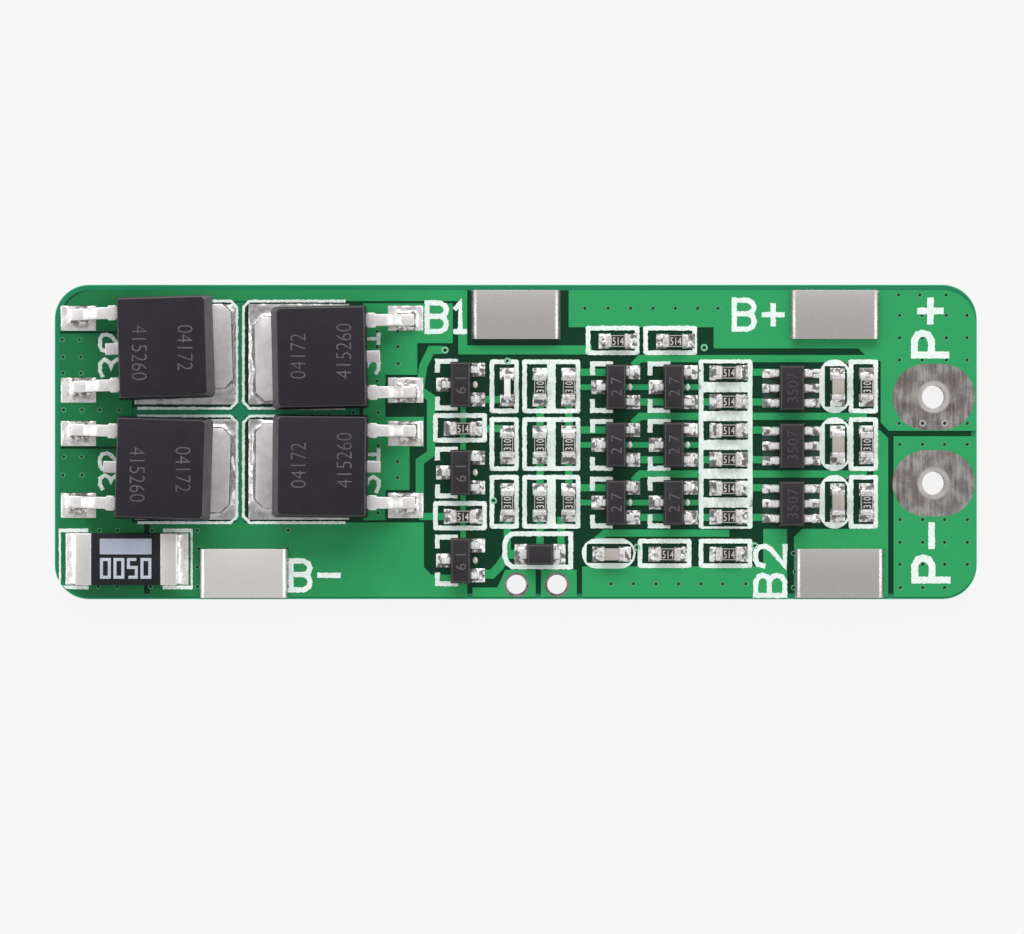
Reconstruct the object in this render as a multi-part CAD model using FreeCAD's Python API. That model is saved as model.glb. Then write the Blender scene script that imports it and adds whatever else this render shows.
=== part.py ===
# Battery management board: a 59 x 20 mm printed circuit board for a pack of three cells in series.
# The board lies flat in the XY plane with its parts on the +Z side. The origin is the middle of
# the underside. +X runs along the board towards the two output terminals, and +Y across it.
#
# Layers, from below: bottom mask, bottom copper, glass-epoxy laminate, top copper, top mask, white
# ink. On top stand four power transistors with metal tabs, a current shunt, four nickel cell tabs,
# nine small three-legged transistors, three six-legged protection chips, a diode and 28 chip parts.
# Every length is in millimetres and every angle in degrees.
import FreeCAD
import Part
import math
import os

# Two points nearer than this are one point
CLOSE = 0.0001

# Layers of the bare board
LAMINATE_THICKNESS = 1.0
COPPER_THICKNESS = 0.05
MASK_THICKNESS = 0.025
MASK_WALL = 0.04
INK_THICKNESS = 0.02
SOLDER_FILM = 0.03
CORNER_RADIUS = 2.2

# Copper drawn back from the four edges, and the bare strips between two copper areas
COPPER_TOP_MARGIN = 0.38
COPPER_LEFT_MARGIN = 0.39
COPPER_BOTTOM_MARGIN = 0.18
COPPER_RIGHT_MARGIN = 0.1
COPPER_GAP = 0.22
COPPER_GAP_WIDE = 0.42
TRACK_WIDTH = 0.38
THIN_TRACK_WIDTH = 0.28
GATE_TRACK_WIDTH = 0.45
BUS_WIDTH = 0.5
AREA_CORNER_CUT = 0.5
B_PLUS_AREA_GAP = 0.66
B_PLUS_AREA_RISE = 0.8
P_PLUS_AREA_GAP = 0.22
B2_AREA_GAP = 0.51
B2_LABEL_WIDTH = 1.45
B2_STRIP_WIDTH = 0.86
COPPER_TO_FRAME_GAP = 0.055
GATE_TRACK_RISE = 1.185
VIA_TRACK_RUN = 0.7025

# Power transistor: a moulded body on a metal tab, two long legs and a cut middle leg
FET_BODY_LENGTH = 6.1
FET_BODY_WIDTH = 6.55
FET_HEIGHT = 2.3
FET_LIFT = 0.04
FET_SPLIT_HEIGHT = 1.05
FET_TOP_DRAFT = 0.14
FET_TAB_SIDE_DRAFT = 0.4
FET_FOOT_DRAFT = 0.1
FET_CORNER_CUT = 0.2
FET_TAB_THICKNESS = 0.5
FET_TAB_WIDTH = 5.4
FET_TAB_REACH = 1.12
FET_TAB_CORNER_CUT = 0.55
FET_TAB_INSET = 1.6
FET_LEG_WIDTH = 0.75
FET_LEG_THICKNESS = 0.5
FET_LEG_OFFSET = 2.3
FET_LEG_LEVEL = 0.8
FET_LEG_REACH = 3.0
FET_LEG_SHOULDER = 1.2
FET_LEG_FOOT = 1.1
FET_LEG_ROOT = 0.8
FET_LEG_BEND = 0.22
FET_LEG_COLLAR = 0.55
FET_LEG_COLLAR_STEP = 0.1
FET_STUB_REACH = 0.8

# Pads of the power transistors and the spaces between them
FET_PAD_LENGTH = 2.26
FET_PAD_WIDTH = 1.6
FET_PAD_MARGIN = 0.68
FET_DRAIN_MARGIN = 0.27
FET_DRAIN_PAD_LENGTH = 6.44
FET_DRAIN_PAD_INSET = 0.13
FET_PAIR_GAP = 0.84
FET_ROW_GAP = 0.82
FET_TOP_MARGIN = 1.165
FETS_PER_SIDE = 2

# How each power transistor sits off its pads as soldered: along, across and turned
FET_SKEW = {
    1: (0.08, 0.4, 1.8),
    2: (-0.05, 0.05, -1.8),
    3: (0.16, -0.24, 1.2),
    4: (0.19, 0.21, -0.5),
}

# Current shunt: a coated metal strip with two plated ends
SHUNT_LENGTH = 6.5
SHUNT_WIDTH = 3.3
SHUNT_HEIGHT = 0.9
SHUNT_END_LENGTH = 1.06
SHUNT_PLATING = 0.12
SHUNT_COAT_STEP = 0.04
SHUNT_PAD_REACH = 0.68
SHUNT_PAD_INSET = 1.4
SHUNT_LEFT_MARGIN = 1.38
SHUNT_BOTTOM_MARGIN = 0.93
SHUNT_TO_FET_GAP = 0.795

# Nickel cell tabs
CELL_TAB_LENGTH = 5.5
CELL_TAB_WIDTH = 3.12
CELL_TAB_THICKNESS = 0.5
CELL_TAB_END_ROUND = 0.3
CELL_TAB_PAD_REACH = 0.1
CELL_TAB_TOP_GAP = 0.36
CELL_TAB_BOTTOM_GAP = 0.1
SHUNT_TO_TAB_GAP = 1.46

# Small moulded packages with three and six legs
SOT_BODY_LENGTH = 2.9
SOT_BODY_WIDTH = 1.3
CHIP_BODY_WIDTH = 1.6
SOT_HEIGHT = 1.1
SOT_LIFT = 0.08
SOT_BAND_STEP = 0.03
SOT_DRAFT = 0.09
SOT_LEG_WIDTH = 0.42
SOT_LEG_THICKNESS = 0.12
SOT_LEG_PITCH = 0.95
SOT_LEG_LEVEL = 0.5
SOT_LEG_REACH = 0.55
SOT_LEG_SHOULDER = 0.1
SOT_LEG_FOOT = 0.28
SOT_PAD_REACH = 0.36
SOT_PAD_LENGTH = 0.86
SOT_PAD_WIDTH = 0.88
CHIP_PAD_REACH = 0.5
CHIP_PAD_LENGTH = 1.0
CHIP_PAD_WIDTH = 0.56

# Diode
DIODE_BODY_LENGTH = 1.7
DIODE_BODY_WIDTH = 1.35
DIODE_HEIGHT = 0.95
DIODE_LEG_WIDTH = 0.6
DIODE_LEG_LEVEL = 0.35
DIODE_LEG_REACH = 0.43
DIODE_LEG_FOOT = 0.22
DIODE_PAD_LENGTH = 1.0
DIODE_PAD_WIDTH = 1.3
DIODE_PAD_REACH = 0.35

# Chip resistors and capacitors
PASSIVE_LENGTH = 1.6
PASSIVE_WIDTH = 0.8
PASSIVE_END = 0.3
PASSIVE_END_STEP = 0.02
RESISTOR_HEIGHT = 0.45
RESISTOR_COAT = 0.03
RESISTOR_COAT_MARGIN = 0.04
CAPACITOR_HEIGHT = 0.8
PASSIVE_PAD_LENGTH = 0.78
PASSIVE_PAD_WIDTH = 0.95
PASSIVE_PAD_REACH = 0.43

# Solder climbing in front of a foot or an end
FILLET_RISE = 0.25
FET_FILLET_RISE = 0.35
FET_FILLET_RUN = 0.5
FET_FILLET_SIDE = 0.15

# Output terminals and the two thermistor holes, all plated through
TERMINAL_HOLE_RADIUS = 0.75
TERMINAL_PAD_LENGTH = 5.28
TERMINAL_PAD_WIDTH = 4.24
TERMINAL_PITCH = 5.52
TERMINAL_SHIFT = 0.12
TERMINAL_EDGE_GAP = 0.12
SENSOR_HOLE_RADIUS = 0.63
SENSOR_PITCH = 2.6
SENSOR_EDGE_DISTANCE = 0.93
BARREL_WALL = 0.17
TIN_THICKNESS = 0.02

# White ink
INK_LINE = 0.29
INK_SHIFT_X = -0.2
INK_SHIFT_Y = 0.05
INK_FRAME_LENGTH = 3.43
INK_FRAME_WIDTH = 1.86
INK_CORNER_CUT = 0.25
INK_OBROUND_CUT = 0.55
INK_CAPACITOR_END = 0.42
INK_CAPACITOR_LINE = 0.13
INK_DIODE_LENGTH = 4.45
INK_DIODE_WIDTH = 2.5
INK_DIODE_CUT = 0.6
INK_DIODE_SHIFT_X = 0.07
INK_DIODE_SHIFT_Y = 0.2
INK_WINDOW_LENGTH = 2.83
INK_WINDOW_WIDTH = 1.2
INK_SHUNT_LINE = 0.26
INK_SHUNT_ARM = 1.9
INK_SHUNT_GAP = 0.22

# Spaces between the columns of the logic part, from left to right
GATE_TO_COLUMN_GAP = 0.18
COLUMN_GAP = 0.23
PAIR_PITCH = 1.84
POWER_TO_LOGIC_GAP = 0.835
GATE_SHIFT = 0.16
FRAME_TO_TRANSISTOR_GAP = 0.51
TRANSISTOR_GAP = 0.56
TRANSISTOR_TO_LADDER_GAP = 0.27
LADDER_TO_CHIP_GAP = 0.435
CHIP_TO_CAPACITOR_GAP = 0.187
LOGIC_TO_TERMINAL_GAP = 0.73

# Spaces between the rows, from top to bottom
TAB_TO_ROW_GAP = 1.355
ROW_GAP = 0.26
TOP_RESISTOR_GAP = 0.295
ROW_TO_BOTTOM_GAP = 0.655
BOTTOM_STRIP = 1.94
GATE_STEP = 2.81
CHIP_DROP = 0.07
TOP_RESISTOR_SHIFT = 0.14
BOTTOM_RESISTOR_GAP = 0.47
BOTTOM_CAPACITOR_GAP = 0.15
TAB_B1_SHIFT = 0.55
TAB_B_PLUS_SHIFT = -0.2
TAB_B2_SHIFT = 0.1
SENSOR_SHIFT = -0.21

# Heights that follow, from the underside up
MASK_BOTTOM_FACE = 0.0
LAMINATE_BOTTOM = MASK_BOTTOM_FACE + MASK_THICKNESS + COPPER_THICKNESS
LAMINATE_TOP = LAMINATE_BOTTOM + LAMINATE_THICKNESS
COPPER_TOP = LAMINATE_TOP + COPPER_THICKNESS
MASK_TOP = COPPER_TOP + MASK_THICKNESS
BARE_MASK_TOP = LAMINATE_TOP + MASK_THICKNESS
SEAT = COPPER_TOP + SOLDER_FILM
BARREL_BOTTOM = LAMINATE_BOTTOM - COPPER_THICKNESS - TIN_THICKNESS
BARREL_TOP = COPPER_TOP + TIN_THICKNESS

# Lengths that follow from the packages
SOT_SPAN = SOT_BODY_WIDTH + 2 * (SOT_LEG_REACH + SOT_PAD_REACH)
CHIP_SPAN = CHIP_BODY_WIDTH + 2 * (SOT_LEG_REACH + CHIP_PAD_REACH)
FET_DRAIN_PAD_WIDTH = FET_BODY_WIDTH - FET_DRAIN_PAD_INSET
FET_ROW_PITCH = FET_BODY_WIDTH + FET_ROW_GAP
FET_SPAN = FET_PAD_MARGIN + FET_LEG_REACH + FET_BODY_LENGTH + FET_TAB_REACH + FET_DRAIN_MARGIN
FRAME_HALF = INK_FRAME_LENGTH / 2
FRAME_HALF_WIDTH = INK_FRAME_WIDTH / 2

# Columns from the left edge, which give the length of the board
FET_START = COPPER_LEFT_MARGIN
PAIR_FROM_LEFT = FET_START + FET_SPAN + FET_PAIR_GAP / 2
POWER_END_FROM_LEFT = PAIR_FROM_LEFT + FET_PAIR_GAP / 2 + FET_SPAN
GATE_FROM_LEFT = POWER_END_FROM_LEFT + POWER_TO_LOGIC_GAP + FRAME_HALF
COLUMN_1_FROM_LEFT = GATE_FROM_LEFT + FRAME_HALF + GATE_TO_COLUMN_GAP + FRAME_HALF_WIDTH
COLUMN_2_FROM_LEFT = COLUMN_1_FROM_LEFT + INK_FRAME_WIDTH + COLUMN_GAP
COLUMN_3_FROM_LEFT = COLUMN_2_FROM_LEFT + PAIR_PITCH
BALANCE_1_FROM_LEFT = COLUMN_3_FROM_LEFT + FRAME_HALF_WIDTH + FRAME_TO_TRANSISTOR_GAP + SOT_SPAN / 2
BALANCE_2_FROM_LEFT = BALANCE_1_FROM_LEFT + SOT_SPAN + TRANSISTOR_GAP
LADDER_FROM_LEFT = BALANCE_2_FROM_LEFT + SOT_SPAN / 2 + TRANSISTOR_TO_LADDER_GAP + FRAME_HALF
CHIP_FROM_LEFT = LADDER_FROM_LEFT + FRAME_HALF + LADDER_TO_CHIP_GAP + CHIP_SPAN / 2
CAPACITOR_FROM_LEFT = CHIP_FROM_LEFT + CHIP_SPAN / 2 + CHIP_TO_CAPACITOR_GAP + FRAME_HALF_WIDTH
COLUMN_4_FROM_LEFT = CAPACITOR_FROM_LEFT + PAIR_PITCH
TERMINAL_FROM_LEFT = COLUMN_4_FROM_LEFT + FRAME_HALF_WIDTH + LOGIC_TO_TERMINAL_GAP + TERMINAL_PAD_LENGTH / 2
BOARD_LENGTH = TERMINAL_FROM_LEFT + TERMINAL_PAD_LENGTH / 2 + TERMINAL_EDGE_GAP

# Rows from the top edge: the taller of the power stack and the logic stack gives the width
ROW_1_FROM_TOP = CELL_TAB_TOP_GAP + CELL_TAB_WIDTH + TAB_TO_ROW_GAP + FRAME_HALF
ROW_PITCH = INK_FRAME_LENGTH + ROW_GAP
BOTTOM_ROW_FROM_TOP = ROW_1_FROM_TOP + 2 * ROW_PITCH + FRAME_HALF + ROW_TO_BOTTOM_GAP + FRAME_HALF_WIDTH
LOGIC_STACK = BOTTOM_ROW_FROM_TOP + FRAME_HALF_WIDTH + BOTTOM_STRIP
FET_STACK = FET_TOP_MARGIN + FET_BODY_WIDTH + FET_ROW_PITCH
POWER_STACK = FET_STACK + SHUNT_TO_FET_GAP + SHUNT_WIDTH + SHUNT_BOTTOM_MARGIN
BOARD_WIDTH = max(LOGIC_STACK, POWER_STACK)

LEFT = -BOARD_LENGTH / 2
RIGHT = BOARD_LENGTH / 2
TOP = BOARD_WIDTH / 2
BOTTOM = -BOARD_WIDTH / 2
POWER_END = LEFT + POWER_END_FROM_LEFT
GATE_X = LEFT + GATE_FROM_LEFT
COLUMN_1 = LEFT + COLUMN_1_FROM_LEFT
COLUMN_2 = LEFT + COLUMN_2_FROM_LEFT
COLUMN_3 = LEFT + COLUMN_3_FROM_LEFT
BALANCE_1 = LEFT + BALANCE_1_FROM_LEFT
BALANCE_2 = LEFT + BALANCE_2_FROM_LEFT
LADDER = LEFT + LADDER_FROM_LEFT
CHIP_X = LEFT + CHIP_FROM_LEFT
CAPACITOR_X = LEFT + CAPACITOR_FROM_LEFT
COLUMN_4 = LEFT + COLUMN_4_FROM_LEFT
TERMINAL_X = LEFT + TERMINAL_FROM_LEFT
ROWS = [TOP - ROW_1_FROM_TOP - k * ROW_PITCH for k in range(3)]
BOTTOM_ROW = TOP - BOTTOM_ROW_FROM_TOP
TOP_ROW = ROWS[0] + FRAME_HALF + TOP_RESISTOR_GAP + FRAME_HALF_WIDTH
FET_ROW_1 = TOP - FET_TOP_MARGIN - FET_BODY_WIDTH / 2
FET_ROW_2 = FET_ROW_1 - FET_ROW_PITCH
GATE_ROWS = [ROWS[0] + GATE_SHIFT - k * GATE_STEP for k in range(5)]
LADDER_STEP = ROW_PITCH / 4
BOTTOM_RESISTOR = LADDER - INK_FRAME_LENGTH - BOTTOM_RESISTOR_GAP
BOTTOM_CAPACITOR = BOTTOM_RESISTOR - INK_FRAME_LENGTH - BOTTOM_CAPACITOR_GAP
SHUNT_X = LEFT + SHUNT_LEFT_MARGIN + SHUNT_LENGTH / 2
SHUNT_Y = TOP - FET_STACK - SHUNT_TO_FET_GAP - SHUNT_WIDTH / 2
SENSOR_MIDDLE = COLUMN_2 + SENSOR_SHIFT
SENSOR_Y = BOTTOM + SENSOR_EDGE_DISTANCE
COPPER_LEFT = LEFT + COPPER_LEFT_MARGIN
COPPER_RIGHT = RIGHT - COPPER_RIGHT_MARGIN
COPPER_TOP_EDGE = TOP - COPPER_TOP_MARGIN
COPPER_BOTTOM_EDGE = BOTTOM + COPPER_BOTTOM_MARGIN
BUS_RIGHT = GATE_X + COPPER_GAP
BUS_Y = TOP - CELL_TAB_TOP_GAP - CELL_TAB_WIDTH - 2 * COPPER_GAP


# Flat shapes, drawn at height zero
def polygon(points):
    corners = [FreeCAD.Vector(x, y, 0) for x, y in points]
    return Part.Face(Part.makePolygon(corners + corners[:1]))


def rectangle(x0, y0, x1, y1):
    return polygon([(x0, y0), (x1, y0), (x1, y1), (x0, y1)])


def centred(x, y, length, width):
    return rectangle(x - length / 2, y - width / 2, x + length / 2, y + width / 2)


def disc(x, y, radius):
    circle = Part.makeCircle(radius, FreeCAD.Vector(x, y, 0))
    return Part.Face(Part.Wire(circle))


def cut_corners(x, y, length, width, cut):
    a = length / 2
    b = width / 2
    return polygon([(x - a + cut, y - b), (x + a - cut, y - b), (x + a, y - b + cut), (x + a, y + b - cut),
                    (x + a - cut, y + b), (x - a + cut, y + b), (x - a, y + b - cut), (x - a, y - b + cut)])


def rounded(x0, y0, x1, y1, radius):
    middle_y = (y0 + y1) / 2
    middle_x = (x0 + x1) / 2
    half = radius / math.sqrt(2)
    corners = [(x1 - radius, y0 + radius, 1, -1), (x1 - radius, y1 - radius, 1, 1),
               (x0 + radius, y1 - radius, -1, 1), (x0 + radius, y0 + radius, -1, -1)]
    edges = []
    start = FreeCAD.Vector(middle_x, y0, 0)
    first = start
    for cx, cy, sx, sy in corners:
        along_x = FreeCAD.Vector(cx, cy + sy * radius, 0)
        along_y = FreeCAD.Vector(cx + sx * radius, cy, 0)
        enter, leave = (along_x, along_y) if sx * sy < 0 else (along_y, along_x)
        if start.distanceToPoint(enter) > CLOSE:
            edges.append(Part.makeLine(start, enter))
        edges.append(Part.Arc(enter, FreeCAD.Vector(cx + sx * half, cy + sy * half, 0), leave).toShape())
        start = leave
    if start.distanceToPoint(first) > CLOSE:
        edges.append(Part.makeLine(start, first))
    return Part.Face(Part.Wire(edges))


# A straight or bent copper track with mitred corners
def track(points, width):
    corners = [FreeCAD.Vector(x, y, 0) for x, y in points]
    runs = [(b - a).normalize() for a, b in zip(corners, corners[1:])]
    left = []
    right = []
    for corner, before, after in zip(corners, runs[:1] + runs, runs + runs[-1:]):
        across = FreeCAD.Vector(-before.y - after.y, before.x + after.x, 0).normalize()
        reach = width / 2 / (before.x * across.y - before.y * across.x)
        left.append(corner + across * reach)
        right.append(corner - across * reach)
    edge = left + right[::-1]
    return Part.Face(Part.makePolygon(edge + edge[:1]))


def merged(faces):
    pieces = faces[0].fuse(faces[1:])
    return Part.makeShell(pieces.Faces).removeSplitter()


def raised(flat, start, end):
    low = min(start, end)
    up = FreeCAD.Vector(0, 0, abs(end - start))
    return Part.makeCompound([face.translated(FreeCAD.Vector(0, 0, low)).extrude(up) for face in flat.Faces])


# Solid shapes, drawn about their own centre
def block(x0, y0, z0, x1, y1, z1):
    return Part.makeBox(x1 - x0, y1 - y0, z1 - z0, FreeCAD.Vector(x0, y0, z0))


def profile(points, width):
    corners = [FreeCAD.Vector(x, -width / 2, z) for x, z in points]
    face = Part.Face(Part.makePolygon(corners + corners[:1]))
    return face.extrude(FreeCAD.Vector(0, width, 0))


def moulded(sections):
    wires = []
    for x0, x1, half_width, cut, z in sections:
        points = [(x0, -half_width), (x1 - cut, -half_width), (x1, cut - half_width),
                  (x1, half_width - cut), (x1 - cut, half_width), (x0, half_width)]
        if cut == 0:
            points = [(x0, -half_width), (x1, -half_width), (x1, half_width), (x0, half_width)]
        corners = [FreeCAD.Vector(x, y, z) for x, y in points]
        wires.append(Part.makePolygon(corners + corners[:1]))
    return Part.makeLoft(wires, True, True)


def placed(shape, x, y, angle=0.0, z=SEAT):
    move = FreeCAD.Placement(FreeCAD.Vector(x, y, z), FreeCAD.Rotation(FreeCAD.Vector(0, 0, 1), angle))
    copy = shape.copy()
    copy.Placement = move.multiply(copy.Placement)
    return copy


# A leg that leaves a body level, turns down and ends in a flat foot. It starts at x = 0.
def gull_wing(root, shoulder, reach, foot, level, thickness, width):
    heel = reach - foot
    lag = thickness / 2
    return profile([(-root, level), (shoulder - lag, level), (heel - lag, 0), (reach, 0), (reach, thickness),
                    (heel + lag, thickness), (shoulder + lag, level + thickness),
                    (-root, level + thickness)], width)


# The edges across a leg at its four bends, to be rounded
def bend_edges(solid, corners):
    chosen = []
    for edge in solid.Edges:
        a, b = edge.Vertexes[0].Point, edge.Vertexes[-1].Point
        across = abs(a.x - b.x) < CLOSE and abs(a.z - b.z) < CLOSE
        if across and any(abs(a.x - x) < CLOSE and abs(a.z - z) < CLOSE for x, z in corners):
            chosen.append(edge)
    return chosen


# Solder under a foot and climbing in front of it. x runs outwards from the pad's inner end.
def joint(inner, outer, toe, width, rise=FILLET_RISE):
    return profile([(inner, 0), (outer, 0), (toe, SOLDER_FILM + rise), (toe, SOLDER_FILM),
                    (inner, SOLDER_FILM)], width)


# Collected while the parts are placed: solids by node, copper pads, windows in the mask, and solder
nodes = {}
pads = []
windows = []
solder = []


def add(node, shapes):
    nodes.setdefault(node, []).extend(shapes)


def add_pad(pad, window=True):
    pads.append(pad)
    if window:
        windows.append(pad)


def add_joint(x, y, angle, inner, outer, toe, width, window=True):
    solder.append(placed(joint(inner, outer, toe, width), x, y, angle, COPPER_TOP))
    middle = (inner + outer) / 2
    direction = FreeCAD.Rotation(FreeCAD.Vector(0, 0, 1), angle).multVec(FreeCAD.Vector(middle, 0, 0))
    along_x = abs(direction.x) > abs(direction.y)
    size = (outer - inner, width) if along_x else (width, outer - inner)
    add_pad(centred(x + direction.x, y + direction.y, *size), window)


# Power transistor, drawn with its legs on the -X side and its tab on the +X side
def power_transistor():
    half = FET_BODY_LENGTH / 2
    body = moulded([
        (FET_FOOT_DRAFT - half, half - FET_FOOT_DRAFT, FET_BODY_WIDTH / 2 - FET_FOOT_DRAFT, FET_CORNER_CUT,
         FET_LIFT),
        (-half, half, FET_BODY_WIDTH / 2, FET_CORNER_CUT, FET_SPLIT_HEIGHT),
        (FET_TOP_DRAFT - half, half - FET_TAB_SIDE_DRAFT, FET_BODY_WIDTH / 2 - FET_TOP_DRAFT,
         FET_CORNER_CUT, FET_HEIGHT)])
    tab_end = half + FET_TAB_REACH
    inset = FET_TAB_INSET - half
    plate = moulded([(inset, tab_end, FET_TAB_WIDTH / 2, FET_TAB_CORNER_CUT, z)
                     for z in (0, FET_TAB_THICKNESS)])
    leg_top = FET_LEG_LEVEL + FET_LEG_THICKNESS
    stub_end = -half - FET_STUB_REACH
    stub = profile([(stub_end, FET_LEG_LEVEL), (inset, FET_LEG_LEVEL), (inset, 0),
                    (inset + FET_LEG_THICKNESS, 0), (inset + FET_LEG_THICKNESS, leg_top),
                    (stub_end, leg_top)], FET_LEG_WIDTH)
    tab = plate.fuse(stub).removeSplitter()
    leg = gull_wing(FET_LEG_ROOT, FET_LEG_SHOULDER, FET_LEG_REACH, FET_LEG_FOOT, FET_LEG_LEVEL,
                    FET_LEG_THICKNESS, FET_LEG_WIDTH)
    heel = FET_LEG_REACH - FET_LEG_FOOT
    lag = FET_LEG_THICKNESS / 2
    inner = bend_edges(leg, [(FET_LEG_SHOULDER - lag, FET_LEG_LEVEL), (heel + lag, FET_LEG_THICKNESS)])
    leg = leg.makeFillet(FET_LEG_BEND, inner)
    outer = bend_edges(leg, [(FET_LEG_SHOULDER + lag, leg_top), (heel - lag, 0)])
    leg = leg.makeFillet(FET_LEG_BEND + FET_LEG_THICKNESS, outer)
    collar_half = FET_LEG_WIDTH / 2 + FET_LEG_COLLAR_STEP
    collar = block(0, -collar_half, FET_LEG_LEVEL, FET_LEG_COLLAR, collar_half, leg_top)
    leg = leg.fuse(collar).removeSplitter()
    legs = [placed(leg, -half, side * FET_LEG_OFFSET, 180, 0) for side in (-1, 1)]
    body = body.cut([tab] + legs)
    return body, tab, legs


def build_power_transistors():
    body, tab, legs = power_transistor()
    from_start = FET_PAD_MARGIN + FET_LEG_REACH + FET_BODY_LENGTH / 2
    toe = FET_BODY_LENGTH / 2 + FET_LEG_REACH
    rows = {1: FET_ROW_1, 2: FET_ROW_2, 3: FET_ROW_1, 4: FET_ROW_2}
    for number, (along, across, turn) in FET_SKEW.items():
        left = number <= FETS_PER_SIDE
        side = -1 if left else 1
        outer_end = COPPER_LEFT if left else POWER_END
        x = outer_end - side * from_start
        y = rows[number]
        angle = turn if left else turn + 180
        name = f"power_transistor_{number}"
        add(f"{name}_body", [placed(body, x + along, y + across, angle)])
        add(f"{name}_tab", [placed(tab, x + along, y + across, angle)])
        add(f"{name}_legs", [placed(leg, x + along, y + across, angle) for leg in legs])
        for row in (-1, 1):
            pad_x = outer_end - side * FET_PAD_LENGTH / 2
            pad = centred(pad_x, y + row * FET_LEG_OFFSET, FET_PAD_LENGTH, FET_PAD_WIDTH)
            add_pad(pad)
            film = raised(pad, COPPER_TOP, SEAT)
            wedge = profile([(toe, 0), (toe + FET_FILLET_RUN, 0), (toe, FET_FILLET_RISE)],
                            FET_LEG_WIDTH + 2 * FET_FILLET_SIDE)
            wedge = placed(wedge, 0, row * FET_LEG_OFFSET, 0, 0)
            wedge = placed(wedge, x + along, y + across, angle + 180)
            solder.append(film.fuse(wedge))
        drain_x = outer_end - side * (FET_SPAN - FET_DRAIN_PAD_LENGTH / 2)
        drain = centred(drain_x, y, FET_DRAIN_PAD_LENGTH, FET_DRAIN_PAD_WIDTH)
        add_pad(drain)
        solder.append(raised(drain, COPPER_TOP, SEAT))


# Current shunt: the ends wrap the strip, and the coat stands proud between them
def build_shunt():
    half = SHUNT_LENGTH / 2
    half_width = SHUNT_WIDTH / 2
    end = half - SHUNT_END_LENGTH
    core = block(SHUNT_PLATING - half, SHUNT_PLATING - half_width, SHUNT_PLATING,
                 half - SHUNT_PLATING, half_width - SHUNT_PLATING, SHUNT_HEIGHT - SHUNT_PLATING)
    coat = block(-end, -half_width, SHUNT_PLATING, end, half_width, SHUNT_HEIGHT + SHUNT_COAT_STEP)
    ends = []
    for side in (-1, 1):
        low, high = sorted((side * half, side * end))
        ends.append(block(low, -half_width, 0, high, half_width, SHUNT_HEIGHT).cut(core))
    add("shunt_element", [placed(core.fuse(coat).removeSplitter(), SHUNT_X, SHUNT_Y)])
    add("shunt_ends", [placed(piece, SHUNT_X, SHUNT_Y) for piece in ends])
    for angle in (0, 180):
        add_joint(SHUNT_X, SHUNT_Y, angle, half - SHUNT_PAD_INSET, half + SHUNT_PAD_REACH, half, SHUNT_WIDTH)


# Nickel cell tabs: plates with rolled ends
def build_cell_tabs():
    half = CELL_TAB_LENGTH / 2
    half_width = CELL_TAB_WIDTH / 2
    plate = block(-half, -half_width, 0, half, half_width, CELL_TAB_THICKNESS)
    ends = bend_edges_x(plate, CELL_TAB_THICKNESS)
    plate = plate.makeFillet(CELL_TAB_END_ROUND, ends)
    upper = TOP - CELL_TAB_TOP_GAP - half_width
    lower = BOTTOM + CELL_TAB_BOTTOM_GAP + half_width
    first_x = SHUNT_X + SHUNT_LENGTH / 2 + SHUNT_TO_TAB_GAP + half
    places = {"b_minus": (first_x, lower), "b1": (COLUMN_1 + TAB_B1_SHIFT, upper),
              "b_plus": (CAPACITOR_X + TAB_B_PLUS_SHIFT, upper), "b2": (CAPACITOR_X + TAB_B2_SHIFT, lower)}
    for name, (x, y) in places.items():
        add(f"cell_tab_{name}", [placed(plate, x, y)])
        pad = centred(x, y, CELL_TAB_LENGTH + 2 * CELL_TAB_PAD_REACH, CELL_TAB_WIDTH)
        add_pad(pad)
        solder.append(raised(pad, COPPER_TOP, SEAT))


# The upper edges across both ends of a plate
def bend_edges_x(plate, height):
    chosen = []
    for edge in plate.Edges:
        a, b = edge.Vertexes[0].Point, edge.Vertexes[-1].Point
        if abs(a.x - b.x) < CLOSE and abs(a.z - height) < CLOSE and abs(b.z - height) < CLOSE:
            chosen.append(edge)
    return chosen


# A small moulded body: two drafted halves either side of an upright band, which the legs leave
def small_body(width, length, height, leg_level):
    half = width / 2
    half_length = length / 2
    band = (leg_level - SOT_BAND_STEP, leg_level + SOT_LEG_THICKNESS + SOT_BAND_STEP)
    return moulded([(SOT_DRAFT - half, half - SOT_DRAFT, half_length - SOT_DRAFT, 0, SOT_LIFT),
                    (-half, half, half_length, 0, band[0]), (-half, half, half_length, 0, band[1]),
                    (SOT_DRAFT - half, half - SOT_DRAFT, half_length - SOT_DRAFT, 0, height)])


# Small packages. Each leg is (side, place along the side), with sides -1 and +1 along X.
def small_package(name, x, y, width, legs, pad, gang=False):
    pad_reach, pad_length, pad_width = pad
    half = width / 2
    leg = gull_wing(0, SOT_LEG_SHOULDER, SOT_LEG_REACH, SOT_LEG_FOOT, SOT_LEG_LEVEL, SOT_LEG_THICKNESS,
                    SOT_LEG_WIDTH)
    body = small_body(width, SOT_BODY_LENGTH, SOT_HEIGHT, SOT_LEG_LEVEL)
    add(f"{name}_body", [placed(body, x, y)])
    add(f"{name}_legs", [placed(leg, x + side * half, y + along, 0 if side > 0 else 180)
                         for side, along in legs])
    toe = half + SOT_LEG_REACH
    outer = toe + pad_reach
    inner = outer - pad_length
    for side, along in legs:
        add_joint(x, y + along, 0 if side > 0 else 180, inner, outer, toe, pad_width, window=not gang)
    if gang:
        reach = max(along for _, along in legs) + pad_width / 2
        for low, high in ((x - outer, x - inner), (x + inner, x + outer)):
            windows.append(rectangle(low, y - reach, high, y + reach))


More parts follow.
